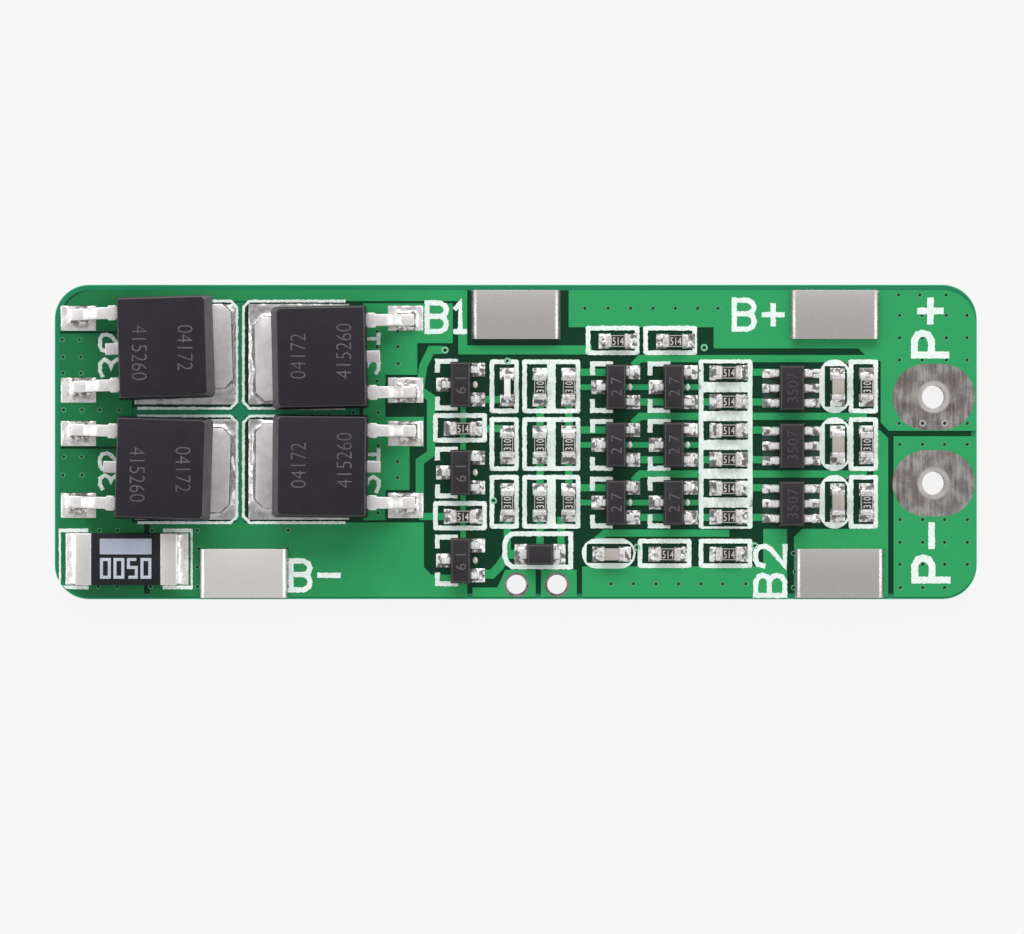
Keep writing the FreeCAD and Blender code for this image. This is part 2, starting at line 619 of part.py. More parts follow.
def build_small_packages():
    three = [(-1, 0.0), (1, SOT_LEG_PITCH), (1, -SOT_LEG_PITCH)]
    six = [(side, k * SOT_LEG_PITCH) for side in (-1, 1) for k in (-1, 0, 1)]
    gate_x = GATE_X - GATE_SHIFT
    sot_pad = (SOT_PAD_REACH, SOT_PAD_LENGTH, SOT_PAD_WIDTH)
    chip_pad = (CHIP_PAD_REACH, CHIP_PAD_LENGTH, CHIP_PAD_WIDTH)
    for number in range(3):
        name = f"gate_transistor_{number + 1}"
        small_package(name, gate_x, GATE_ROWS[2 * number], SOT_BODY_WIDTH, three, sot_pad)
    for row, y in enumerate(ROWS):
        for column, x in enumerate((BALANCE_1, BALANCE_2)):
            name = f"balance_transistor_{2 * row + column + 1}"
            small_package(name, x, y, SOT_BODY_WIDTH, three, sot_pad)
        name = f"protection_chip_{row + 1}"
        small_package(name, CHIP_X, y - CHIP_DROP, CHIP_BODY_WIDTH, six, chip_pad, gang=True)


# Diode: a moulded body with one flat lead at each end
def build_diode():
    half = DIODE_BODY_LENGTH / 2
    lead = gull_wing(0, SOT_LEG_SHOULDER, DIODE_LEG_REACH, DIODE_LEG_FOOT, DIODE_LEG_LEVEL, SOT_LEG_THICKNESS,
                     DIODE_LEG_WIDTH)
    body = small_body(DIODE_BODY_LENGTH, DIODE_BODY_WIDTH, DIODE_HEIGHT, DIODE_LEG_LEVEL)
    add("diode_body", [placed(body, COLUMN_2, BOTTOM_ROW)])
    add("diode_leads", [placed(lead, COLUMN_2 + side * half, BOTTOM_ROW, 0 if side > 0 else 180)
                        for side in (-1, 1)])
    toe = half + DIODE_LEG_REACH
    outer = toe + DIODE_PAD_REACH
    for angle in (0, 180):
        add_joint(COLUMN_2, BOTTOM_ROW, angle, outer - DIODE_PAD_LENGTH, outer, toe, DIODE_PAD_WIDTH)


# Chip resistor or capacitor: a ceramic middle between two plated ends, and a coat on a resistor
def passive(x, y, angle, height, coated, on_edge=False):
    half = PASSIVE_LENGTH / 2
    half_width = PASSIVE_WIDTH / 2
    inner = half - PASSIVE_END
    step = PASSIVE_END_STEP
    core = block(-inner, step - half_width, step, inner, half_width - step, height - step)
    ends = [block(-half, -half_width, 0, -inner, half_width, height),
            block(inner, -half_width, 0, half, half_width, height)]
    coat = block(RESISTOR_COAT_MARGIN - inner, step - half_width, height - step,
                 inner - RESISTOR_COAT_MARGIN, half_width - step, height - step + RESISTOR_COAT)
    pieces = [core] + ends + ([coat] if coated else [])
    if on_edge:
        tip = FreeCAD.Placement(FreeCAD.Vector(0, height / 2, half_width),
                                FreeCAD.Rotation(FreeCAD.Vector(1, 0, 0), 90))
        pieces = [piece.transformed(tip.toMatrix()) for piece in pieces]
    pieces = [placed(piece, x, y, angle) for piece in pieces]
    kind = "resistor" if coated else "capacitor"
    add(f"{kind}_bodies", pieces[:1])
    add(f"{kind}_ends", pieces[1:3])
    if coated:
        add("resistor_coats", pieces[3:])
    outer = half + PASSIVE_PAD_REACH
    for turn in (0, 180):
        add_joint(x, y, angle + turn, outer - PASSIVE_PAD_LENGTH, outer, half, PASSIVE_PAD_WIDTH)


def build_passives():
    for y in GATE_ROWS[1::2]:
        passive(GATE_X, y, 0, RESISTOR_HEIGHT, True)
    for row, y in enumerate(ROWS):
        passive(COLUMN_1, y, 90, RESISTOR_HEIGHT, True, on_edge=row == 0)
        for x in (COLUMN_2, COLUMN_3, COLUMN_4):
            passive(x, y, 90, RESISTOR_HEIGHT, True)
        for side in (-1, 1):
            passive(LADDER, y + side * LADDER_STEP, 0, RESISTOR_HEIGHT, True)
        passive(CAPACITOR_X, y, 90, CAPACITOR_HEIGHT, False)
    for x in (BALANCE_1, BALANCE_2):
        passive(x + TOP_RESISTOR_SHIFT, TOP_ROW, 0, RESISTOR_HEIGHT, True)
    for x in (BOTTOM_RESISTOR, LADDER):
        passive(x, BOTTOM_ROW, 0, RESISTOR_HEIGHT, True)
    passive(BOTTOM_CAPACITOR, BOTTOM_ROW, 0, CAPACITOR_HEIGHT, False)


# Terminal pads and holes
TERMINALS = {"p_plus": TERMINAL_SHIFT + TERMINAL_PITCH / 2, "p_minus": TERMINAL_SHIFT - TERMINAL_PITCH / 2}
SENSORS = [SENSOR_MIDDLE - SENSOR_PITCH / 2, SENSOR_MIDDLE + SENSOR_PITCH / 2]
SENSOR_RING_RADIUS = SENSOR_HOLE_RADIUS + BARREL_WALL


def terminal_pad(y):
    half = TERMINAL_PAD_LENGTH / 2
    half_width = TERMINAL_PAD_WIDTH / 2
    return rounded(TERMINAL_X - half, y - half_width, TERMINAL_X + half, y + half_width, half_width)


def terminal(y):
    hole = disc(TERMINAL_X, y, TERMINAL_HOLE_RADIUS)
    barrel = disc(TERMINAL_X, y, TERMINAL_HOLE_RADIUS + BARREL_WALL).cut(hole)
    face = terminal_pad(y).cut(hole)
    top = raised(face, COPPER_TOP, BARREL_TOP)
    bottom = raised(face, BARREL_BOTTOM, LAMINATE_BOTTOM - COPPER_THICKNESS)
    return raised(barrel, BARREL_BOTTOM, BARREL_TOP).fuse([top, bottom]).removeSplitter()


def build_eyelets():
    for name, y in TERMINALS.items():
        add(f"terminal_{name}", [terminal(y)])
    rings = [disc(x, SENSOR_Y, SENSOR_RING_RADIUS).cut(disc(x, SENSOR_Y, SENSOR_HOLE_RADIUS))
             for x in SENSORS]
    add("sensor_hole_eyelets", [raised(ring, BARREL_BOTTOM, BARREL_TOP) for ring in rings])


def barrel_holes():
    holes = [disc(TERMINAL_X, y, TERMINAL_HOLE_RADIUS + BARREL_WALL) for y in TERMINALS.values()]
    return holes + [disc(x, SENSOR_Y, SENSOR_RING_RADIUS) for x in SENSORS]


# The board's outline, drawn back from its four edges
def outline(left, bottom, right, top):
    radius = CORNER_RADIUS - min(left, bottom, right, top)
    return rounded(LEFT + left, BOTTOM + bottom, RIGHT - right, TOP - top, radius)


def copper_outline(grow=0.0):
    return outline(COPPER_LEFT_MARGIN - grow, COPPER_BOTTOM_MARGIN - grow, COPPER_RIGHT_MARGIN - grow,
                   COPPER_TOP_MARGIN - grow)


# Copper areas under and round the power transistors
def power_areas():
    source_right = COPPER_LEFT + FET_SPAN - FET_DRAIN_PAD_LENGTH - COPPER_GAP
    half_drain = FET_DRAIN_PAD_WIDTH / 2
    to_pad = FET_LEG_OFFSET + FET_PAD_WIDTH / 2
    to_gate = FET_LEG_OFFSET - FET_PAD_WIDTH / 2
    band_bottom = FET_ROW_1 + half_drain + COPPER_GAP
    under_fets = FET_ROW_2 - half_drain - COPPER_GAP
    gate_pad_1 = FET_ROW_1 + to_gate
    gate_pad_2 = FET_ROW_2 + to_gate
    split = SHUNT_X + SHUNT_END_LENGTH
    body_end = POWER_END - FET_PAD_LENGTH - COPPER_GAP_WIDE
    strip_left = body_end - FET_PAD_LENGTH / 2
    step_y = BOTTOM_ROW - SOT_SPAN / 2 + COPPER_GAP
    bus_left = BUS_RIGHT - BUS_WIDTH
    bus_bottom = BUS_Y - BUS_WIDTH
    gate_1_bottom = FET_ROW_1 - to_gate + COPPER_GAP
    gate_1_top = FET_ROW_1 - to_gate + COPPER_GAP_WIDE
    source_2_top = FET_ROW_2 + to_pad + COPPER_GAP
    gate_2_bottom = FET_ROW_2 - to_gate + COPPER_GAP
    return [
        rectangle(COPPER_LEFT, gate_pad_1, source_right, COPPER_TOP_EDGE),
        rectangle(COPPER_LEFT, band_bottom, BUS_RIGHT, COPPER_TOP_EDGE),
        rectangle(bus_left, bus_bottom, BUS_RIGHT, COPPER_TOP_EDGE),
        rectangle(bus_left, bus_bottom, BALANCE_1 - SOT_SPAN / 2, BUS_Y),
        rectangle(COPPER_LEFT, gate_pad_2, source_right, gate_pad_1 - COPPER_GAP),
        rectangle(COPPER_LEFT, under_fets, source_right, gate_pad_2 - COPPER_GAP),
        rectangle(COPPER_LEFT, COPPER_BOTTOM_EDGE, split, under_fets),
        polygon([(split + COPPER_GAP_WIDE, COPPER_BOTTOM_EDGE), (BUS_RIGHT, COPPER_BOTTOM_EDGE),
                 (BUS_RIGHT, step_y), (POWER_END + AREA_CORNER_CUT, step_y),
                 (POWER_END, step_y + AREA_CORNER_CUT), (POWER_END, under_fets),
                 (split + COPPER_GAP_WIDE, under_fets)]),
        rectangle(strip_left, BUS_Y + COPPER_GAP, bus_left - COPPER_GAP_WIDE, band_bottom - COPPER_GAP),
        rectangle(strip_left, gate_1_bottom, POWER_END - COPPER_GAP_WIDE, BUS_Y + COPPER_GAP_WIDE),
        rectangle(strip_left, FET_ROW_2 - half_drain, body_end + COPPER_GAP, gate_1_top),
        rectangle(strip_left, gate_pad_2, POWER_END, source_2_top),
        rectangle(strip_left, gate_2_bottom, POWER_END - COPPER_GAP_WIDE - BUS_WIDTH,
                  gate_pad_2 + COPPER_GAP),
    ]


# Copper areas of the logic part and the output terminals
def logic_areas():
    cut = AREA_CORNER_CUT
    bottom = COPPER_BOTTOM_EDGE
    sensor_start = SENSORS[0] - SENSOR_RING_RADIUS + COPPER_GAP / 2
    sensor_split = SENSOR_MIDDLE - COPPER_GAP / 2
    sensor_area = BUS_RIGHT + COPPER_GAP_WIDE
    sensor_end = SENSORS[1] + SENSOR_RING_RADIUS + COPPER_GAP_WIDE
    sensor_top = SENSOR_Y + SENSOR_RING_RADIUS + COPPER_GAP / 2
    tab_2_left = CAPACITOR_X + TAB_B2_SHIFT - CELL_TAB_LENGTH / 2
    label_right = tab_2_left - B2_AREA_GAP - COPPER_GAP / 2
    label_left = label_right - B2_LABEL_WIDTH
    tab_2_area = tab_2_left - COPPER_GAP / 2
    frames_bottom = ROWS[2] + INK_SHIFT_Y - FRAME_HALF - COPPER_TO_FRAME_GAP
    strip_right = TERMINAL_X - TERMINAL_PAD_LENGTH / 2 - COPPER_GAP_WIDE + COPPER_GAP / 2
    strip_left = strip_right - B2_STRIP_WIDTH
    middle = TERMINAL_SHIFT + COPPER_GAP_WIDE / 2
    plus_left = COLUMN_1 + TAB_B1_SHIFT + CELL_TAB_LENGTH / 2 + B_PLUS_AREA_GAP
    plus_step = LADDER - FRAME_HALF_WIDTH
    plus_low = ROWS[0] + FRAME_HALF + B_PLUS_AREA_RISE
    frame_right = COLUMN_4 + INK_SHIFT_X + FRAME_HALF_WIDTH + P_PLUS_AREA_GAP
    frame_top = ROWS[0] + INK_SHIFT_Y + FRAME_HALF - COPPER_TO_FRAME_GAP
    return [
        polygon([(sensor_area, bottom), (sensor_split, bottom), (sensor_split, sensor_top),
                 (sensor_start, sensor_top), (sensor_start - cut, SENSOR_Y - COPPER_GAP),
                 (sensor_area, SENSOR_Y - COPPER_GAP)]),
        rectangle(sensor_split + COPPER_GAP_WIDE, bottom, sensor_end, sensor_top),
        polygon([(sensor_end + COPPER_GAP_WIDE, bottom), (label_right, bottom), (label_right, frames_bottom),
                 (label_left, frames_bottom), (label_left, sensor_top + COPPER_GAP),
                 (sensor_end + COPPER_GAP_WIDE, sensor_top + COPPER_GAP)]),
        polygon([(tab_2_area, bottom), (strip_right, bottom), (strip_right, middle - COPPER_GAP / 2),
                 (strip_right - cut, middle + cut - COPPER_GAP / 2),
                 (strip_left, middle + cut - COPPER_GAP / 2), (strip_left, frames_bottom),
                 (tab_2_area + cut, frames_bottom), (tab_2_area, frames_bottom - cut)]),
        rectangle(strip_right + COPPER_GAP_WIDE, bottom, COPPER_RIGHT, middle),
        polygon([(plus_left, COPPER_TOP_EDGE), (plus_left, TOP_ROW + FRAME_HALF_WIDTH),
                 (plus_step, TOP_ROW + FRAME_HALF_WIDTH), (plus_step, plus_low),
                 (COLUMN_4 - cut, plus_low), (COLUMN_4, plus_low - cut), (COLUMN_4, frame_top),
                 (frame_right, frame_top), (frame_right, middle + COPPER_GAP_WIDE + cut),
                 (frame_right + cut, middle + COPPER_GAP_WIDE), (COPPER_RIGHT, middle + COPPER_GAP_WIDE),
                 (COPPER_RIGHT, COPPER_TOP_EDGE)]),
    ]


# Tracks of the cell rows: a line over each row, and short ones between the pads of the parts in it
def row_tracks():
    pitch = SOT_LEG_PITCH
    tracks = []
    for row, y in enumerate(ROWS):
        line = y + FRAME_HALF + COPPER_GAP / 2
        start = BALANCE_1 + SOT_SPAN / 2
        tracks += [
            track([(start - COPPER_GAP_WIDE, line - COPPER_GAP_WIDE), (start, line), (COLUMN_4, line)],
                  TRACK_WIDTH),
            track([(COLUMN_3, y + pitch), (BALANCE_1, y + pitch)], TRACK_WIDTH),
            track([(COLUMN_3, y), (LADDER, y)], THIN_TRACK_WIDTH),
            track([(BALANCE_1, y - pitch), (CHIP_X, y - pitch)], TRACK_WIDTH),
            track([(LADDER, y + pitch), (CHIP_X, y + pitch)], TRACK_WIDTH),
        ]
        if row > 0:
            for x in (COLUMN_2, COLUMN_3):
                tracks.append(track([(x, y + pitch), (x, y + ROW_PITCH - pitch)], TRACK_WIDTH))
    return tracks


# Tracks round the gate transistors, the diode and the bottom row
def gate_tracks():
    lane = POWER_END + BUS_WIDTH
    pad_edge = POWER_END - COPPER_GAP
    upper = FET_ROW_1 - FET_LEG_OFFSET
    lower = FET_ROW_2 - FET_LEG_OFFSET
    via_y = BUS_Y - BUS_WIDTH / 2
    low_row = BOTTOM_ROW + FRAME_HALF_WIDTH + COPPER_GAP_WIDE
    sensor_line = BOTTOM_ROW - PASSIVE_PAD_LENGTH
    paths = [
        (GATE_TRACK_WIDTH, [(pad_edge, upper), (POWER_END, GATE_ROWS[0] + GATE_TRACK_RISE), (lane, via_y),
                            (lane + VIA_TRACK_RUN, via_y)]),
        (GATE_TRACK_WIDTH, [(pad_edge, upper), (lane, upper - BUS_WIDTH), (lane, GATE_ROWS[1] - FET_PAD_WIDTH),
                            (pad_edge, GATE_ROWS[1] - FET_PAD_WIDTH - BUS_WIDTH), (pad_edge, lower)]),
        (TRACK_WIDTH, [(pad_edge, GATE_ROWS[3]), (GATE_X, GATE_ROWS[3])]),
        (THIN_TRACK_WIDTH, [(GATE_X, GATE_ROWS[0]), (GATE_X, GATE_ROWS[4])]),
        (TRACK_WIDTH, [(GATE_X, GATE_ROWS[0] - SOT_LEG_PITCH), (COLUMN_1, GATE_ROWS[0] - SOT_LEG_PITCH)]),
        (TRACK_WIDTH, [(GATE_X, GATE_ROWS[1]), (COLUMN_1, GATE_ROWS[1])]),
        (TRACK_WIDTH, [(COLUMN_1, ROWS[2]), (COLUMN_1, BOTTOM_ROW)]),
        (TRACK_WIDTH, [(COLUMN_2, ROWS[2]), (COLUMN_2, BOTTOM_ROW)]),
        (TRACK_WIDTH, [(COLUMN_3 - BUS_WIDTH, ROWS[2] - SOT_LEG_PITCH),
                       (COLUMN_3 - BUS_WIDTH, BOTTOM_ROW)]),
        (BUS_WIDTH, [(COLUMN_2, BOTTOM_ROW), (COLUMN_1, BOTTOM_ROW), (COLUMN_1 - BUS_WIDTH, sensor_line),
                     (COLUMN_1 - 2 * BUS_WIDTH, sensor_line - BUS_WIDTH), (GATE_X, sensor_line - BUS_WIDTH)]),
        (TRACK_WIDTH, [(BOTTOM_CAPACITOR - FRAME_HALF_WIDTH, low_row - COPPER_GAP_WIDE),
                       (BOTTOM_CAPACITOR - COPPER_GAP_WIDE, low_row), (LADDER, low_row)]),
    ]
    return [track(points, width) for width, points in paths]


# Copper on the underside: the four pack lines
def bottom_areas():
    middle = TERMINAL_SHIFT
    half = COPPER_GAP_WIDE / 2
    step = BOTTOM_ROW + FRAME_HALF
    sensors_end = SENSORS[1] + SENSOR_RING_RADIUS + COPPER_GAP_WIDE
    return [
        rectangle(COPPER_LEFT, COPPER_BOTTOM_EDGE, GATE_X - half, step - half),
        rectangle(COPPER_LEFT, step + half, GATE_X - half, COPPER_TOP_EDGE),
        rectangle(GATE_X + half, middle + half, COPPER_RIGHT, COPPER_TOP_EDGE),
        rectangle(sensors_end, COPPER_BOTTOM_EDGE, COPPER_RIGHT, middle - half),
    ]


def copper_flat(areas, grow):
    if grow > 0:
        areas = [area.makeOffset2D(grow, 2) for area in areas]
    return merged(areas).common(copper_outline(grow))


# One side of the board: the copper, and the mask that steps up over it. The mask is a low sheet on
# the bare laminate, a wall beside the copper and a cover on it.
def build_side(name, areas, copper_pads, openings, laminate, direction):
    zones = copper_flat(areas, 0)
    grown = copper_flat(areas, MASK_WALL)
    opened = merged(openings)
    copper = merged([zones] + copper_pads).cut(barrel_holes())
    copper_face = laminate + direction * COPPER_THICKNESS
    low_face = laminate + direction * MASK_THICKNESS
    high_face = copper_face + direction * MASK_THICKNESS
    low = raised(outline(0, 0, 0, 0).cut([grown, opened]), laminate, low_face)
    wall = raised(grown.cut([zones, opened]), laminate, high_face)
    cover = raised(zones.cut(opened), copper_face, high_face)
    add(f"copper_{name}", [raised(copper, laminate, copper_face)])
    add(f"solder_mask_{name}", [low.fuse([wall, cover]).removeSplitter()])
    return grown


# White ink: frames round the parts, printed a little off the copper
def frame(x, y, length, width, cut=INK_CORNER_CUT, line_x=INK_LINE, line_y=INK_LINE):
    x += INK_SHIFT_X
    y += INK_SHIFT_Y
    return cut_corners(x, y, length, width, cut).cut(centred(x, y, length - 2 * line_x, width - 2 * line_y))


def obround_frame(x, y, upright):
    size = (INK_FRAME_LENGTH, INK_FRAME_WIDTH)
    lines = (INK_CAPACITOR_END, INK_CAPACITOR_LINE)
    if upright:
        size = size[::-1]
        lines = lines[::-1]
    return frame(x, y, *size, INK_OBROUND_CUT, *lines)


def diode_frame(x, y):
    a = INK_DIODE_LENGTH / 2
    b = INK_DIODE_WIDTH / 2
    cut = INK_DIODE_CUT
    outer = polygon([(x - a + cut, y - b), (x + a, y - b), (x + a, y + b), (x - a + cut, y + b),
                     (x - a, y + b - cut), (x - a, y - b + cut)])
    return outer.cut(cut_corners(x, y, 2 * (a - INK_LINE), 2 * (b - INK_LINE), cut - INK_LINE / 2))


def ink_shapes():
    shapes = [frame(GATE_X, y, INK_FRAME_LENGTH, INK_FRAME_WIDTH) for y in GATE_ROWS[1::2]]
    for y in ROWS:
        shapes += [frame(x, y, INK_FRAME_WIDTH, INK_FRAME_LENGTH)
                   for x in (COLUMN_1, COLUMN_2, COLUMN_3, COLUMN_4)]
        shapes.append(obround_frame(CAPACITOR_X, y, True))
    for x in (BALANCE_1, BALANCE_2):
        shapes.append(frame(x, TOP_ROW, INK_FRAME_LENGTH, INK_FRAME_WIDTH))
    for x in (BOTTOM_RESISTOR, LADDER):
        shapes.append(frame(x, BOTTOM_ROW, INK_FRAME_LENGTH, INK_FRAME_WIDTH))
    shapes.append(obround_frame(BOTTOM_CAPACITOR, BOTTOM_ROW, False))
    shapes.append(diode_frame(COLUMN_2 + INK_SHIFT_X + INK_DIODE_SHIFT_X, BOTTOM_ROW + INK_DIODE_SHIFT_Y))
    ladder = cut_corners(LADDER + INK_SHIFT_X, ROWS[1] + INK_SHIFT_Y, INK_FRAME_LENGTH,
                         INK_FRAME_LENGTH + 2 * ROW_PITCH, INK_CORNER_CUT)
    for y in ROWS:
        gaps = [centred(LADDER + INK_SHIFT_X, y + side * LADDER_STEP, INK_WINDOW_LENGTH, INK_WINDOW_WIDTH)
                for side in (-1, 1)]
        ladder = ladder.cut(gaps)
    shapes.append(ladder)
    outer_x = SHUNT_LENGTH / 2 + SHUNT_PAD_REACH + INK_SHUNT_GAP
    outer_y = SHUNT_WIDTH / 2 + INK_SHUNT_GAP
    for side in (-1, 1):
        arm_x = SHUNT_X + side * (outer_x + (INK_SHUNT_LINE - INK_SHUNT_ARM) / 2)
        arm = centred(arm_x, SHUNT_Y, INK_SHUNT_ARM, 2 * (outer_y + INK_SHUNT_LINE))
        inside = centred(SHUNT_X, SHUNT_Y, 2 * outer_x, 2 * outer_y)
        shapes.append(arm.cut(inside))
    return shapes


# The ink lies on the mask, thicker where the mask is low
def build_ink(grown, openings):
    flat = merged(ink_shapes()).cut(merged(openings)).common(outline(0, 0, 0, 0))
    ink_top = MASK_TOP + INK_THICKNESS
    low = raised(flat.cut(grown), BARE_MASK_TOP, ink_top)
    high = raised(flat.common(grown), MASK_TOP, ink_top)
    add("silkscreen_top", [low.fuse(high).removeSplitter()])


def build_laminate():
    add("board_core", [raised(outline(0, 0, 0, 0).cut(barrel_holes()), LAMINATE_BOTTOM, LAMINATE_TOP)])


def main():
    build_power_transistors()
    build_shunt()
    build_cell_tabs()
    build_small_packages()
    build_diode()
    build_passives()
    build_eyelets()
    build_laminate()
    terminal_pads = [terminal_pad(y) for y in TERMINALS.values()]
    openings = terminal_pads + [disc(x, SENSOR_Y, SENSOR_RING_RADIUS) for x in SENSORS]
    areas = power_areas() + logic_areas() + row_tracks() + gate_tracks()
    grown = build_side("top", areas, pads + terminal_pads, windows + openings, LAMINATE_TOP, 1)
    build_side("bottom", bottom_areas(), terminal_pads, openings, LAMINATE_BOTTOM, -1)
    build_ink(grown, windows + openings)
    add("solder_joints", solder)
    os.makedirs("parts", exist_ok=True)
    for name, shapes in nodes.items():
        Part.makeCompound(shapes).exportStep(f"parts/{name}.step")


main()
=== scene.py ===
"""The looks of a battery management board: lacquer, ink, solder, metal and moulded parts, and its studio."""

import logging
import math
from dataclasses import dataclass
from enum import Enum

import bmesh
import bpy
from mathutils import Matrix, Vector, geometry, noise

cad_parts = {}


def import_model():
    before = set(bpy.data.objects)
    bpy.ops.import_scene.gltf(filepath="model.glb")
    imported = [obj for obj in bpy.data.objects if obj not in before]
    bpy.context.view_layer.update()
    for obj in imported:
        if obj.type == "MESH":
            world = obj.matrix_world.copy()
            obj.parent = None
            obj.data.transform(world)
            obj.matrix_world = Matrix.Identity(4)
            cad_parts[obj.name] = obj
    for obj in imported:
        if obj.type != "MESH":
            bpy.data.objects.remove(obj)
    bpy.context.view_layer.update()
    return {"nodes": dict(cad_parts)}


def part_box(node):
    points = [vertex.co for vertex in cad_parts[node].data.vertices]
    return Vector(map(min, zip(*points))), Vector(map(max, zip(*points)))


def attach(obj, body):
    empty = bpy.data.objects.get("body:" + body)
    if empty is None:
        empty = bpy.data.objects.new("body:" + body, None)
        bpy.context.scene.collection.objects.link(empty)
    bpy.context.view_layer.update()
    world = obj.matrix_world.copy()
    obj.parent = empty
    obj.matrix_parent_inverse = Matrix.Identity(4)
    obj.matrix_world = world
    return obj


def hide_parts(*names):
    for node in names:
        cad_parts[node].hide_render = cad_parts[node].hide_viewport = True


LOG = logging.getLogger("board")
MM = 0.001
ROOT = "root"

# Heights of the layers, as the board is built
LAMINATE_TOP = 1.075 * MM
BARE_TOP = 1.1 * MM
COPPER_TOP = 1.125 * MM
MASK_TOP = 1.15 * MM
SEAT = 1.155 * MM
INK_TOP = 1.17 * MM

# Two places nearer than this are the same
CLOSE = 0.001 * MM

# Farther than anything on the board
FAR = 1.0

# How tall a figure is in the plain font, against the font's size
FIGURE_SHARE = 0.72

# A corner sharper than this share of a full mitre is cut short
MITRE_LEAST = 0.5

# Neighbouring triangles that turn by less than this belong to one flat face
FLAT_TURN = math.radians(1.0)

# Without a seed, Blender's noise vectors differ from run to run
NOISE_SEED = 1

Point = tuple[float, float]
Mesh = bmesh.types.BMesh
Socket = bpy.types.NodeSocket
Nodes = dict[str, bpy.types.Object]
Colour = tuple[float, float, float, float]


def rgb(red: float, green: float, blue: float) -> Colour:
    """Turns a colour on the usual 0 to 255 scale into the linear one that a shader takes.

    Args:
        red: Red share.
        green: Green share.
        blue: Blue share.

    Returns:
        The linear colour with full opacity.
    """
    def linear(value: float) -> float:
        share = value / 255
        return share / 12.92 if share <= 0.04045 else ((share + 0.055) / 1.055) ** 2.4
    return linear(red), linear(green), linear(blue), 1.0


class Slot(Enum):
    """The material slots."""

    LAMINATE = "laminate"
    COPPER = "copper"
    MASK = "solder_mask"
    INK = "ink"
    TIN = "tin"
    MOULD = "mould"
    LEAD = "lead_metal"
    SHUNT = "shunt_coat"
    NICKEL = "nickel"
    CERAMIC = "resistor_ceramic"
    GLAZE = "resistor_coat"
    CAPACITOR = "capacitor_ceramic"
    SOLDER = "solder"


class Axis(Enum):
    """The way a streaked grain runs, as a scale on each axis."""

    Y = (1.0, 0.08, 1.0)
    NONE = (1.0, 1.0, 1.0)


def fill_ramp(node: bpy.types.Node, stops: tuple[tuple[float, object], ...]) -> None:
    """Sets the stops of a colour ramp.

    Args:
        node: The ramp's node.
        stops: Pairs of a place from 0 to 1 and a colour or a number.
    """
    elements = node.color_ramp.elements
    while len(elements) < len(stops):
        elements.new(0.5)
    for element, (place, value) in zip(elements, stops):
        element.position = place
        element.color = value if isinstance(value, tuple) else (value, value, value, 1.0)


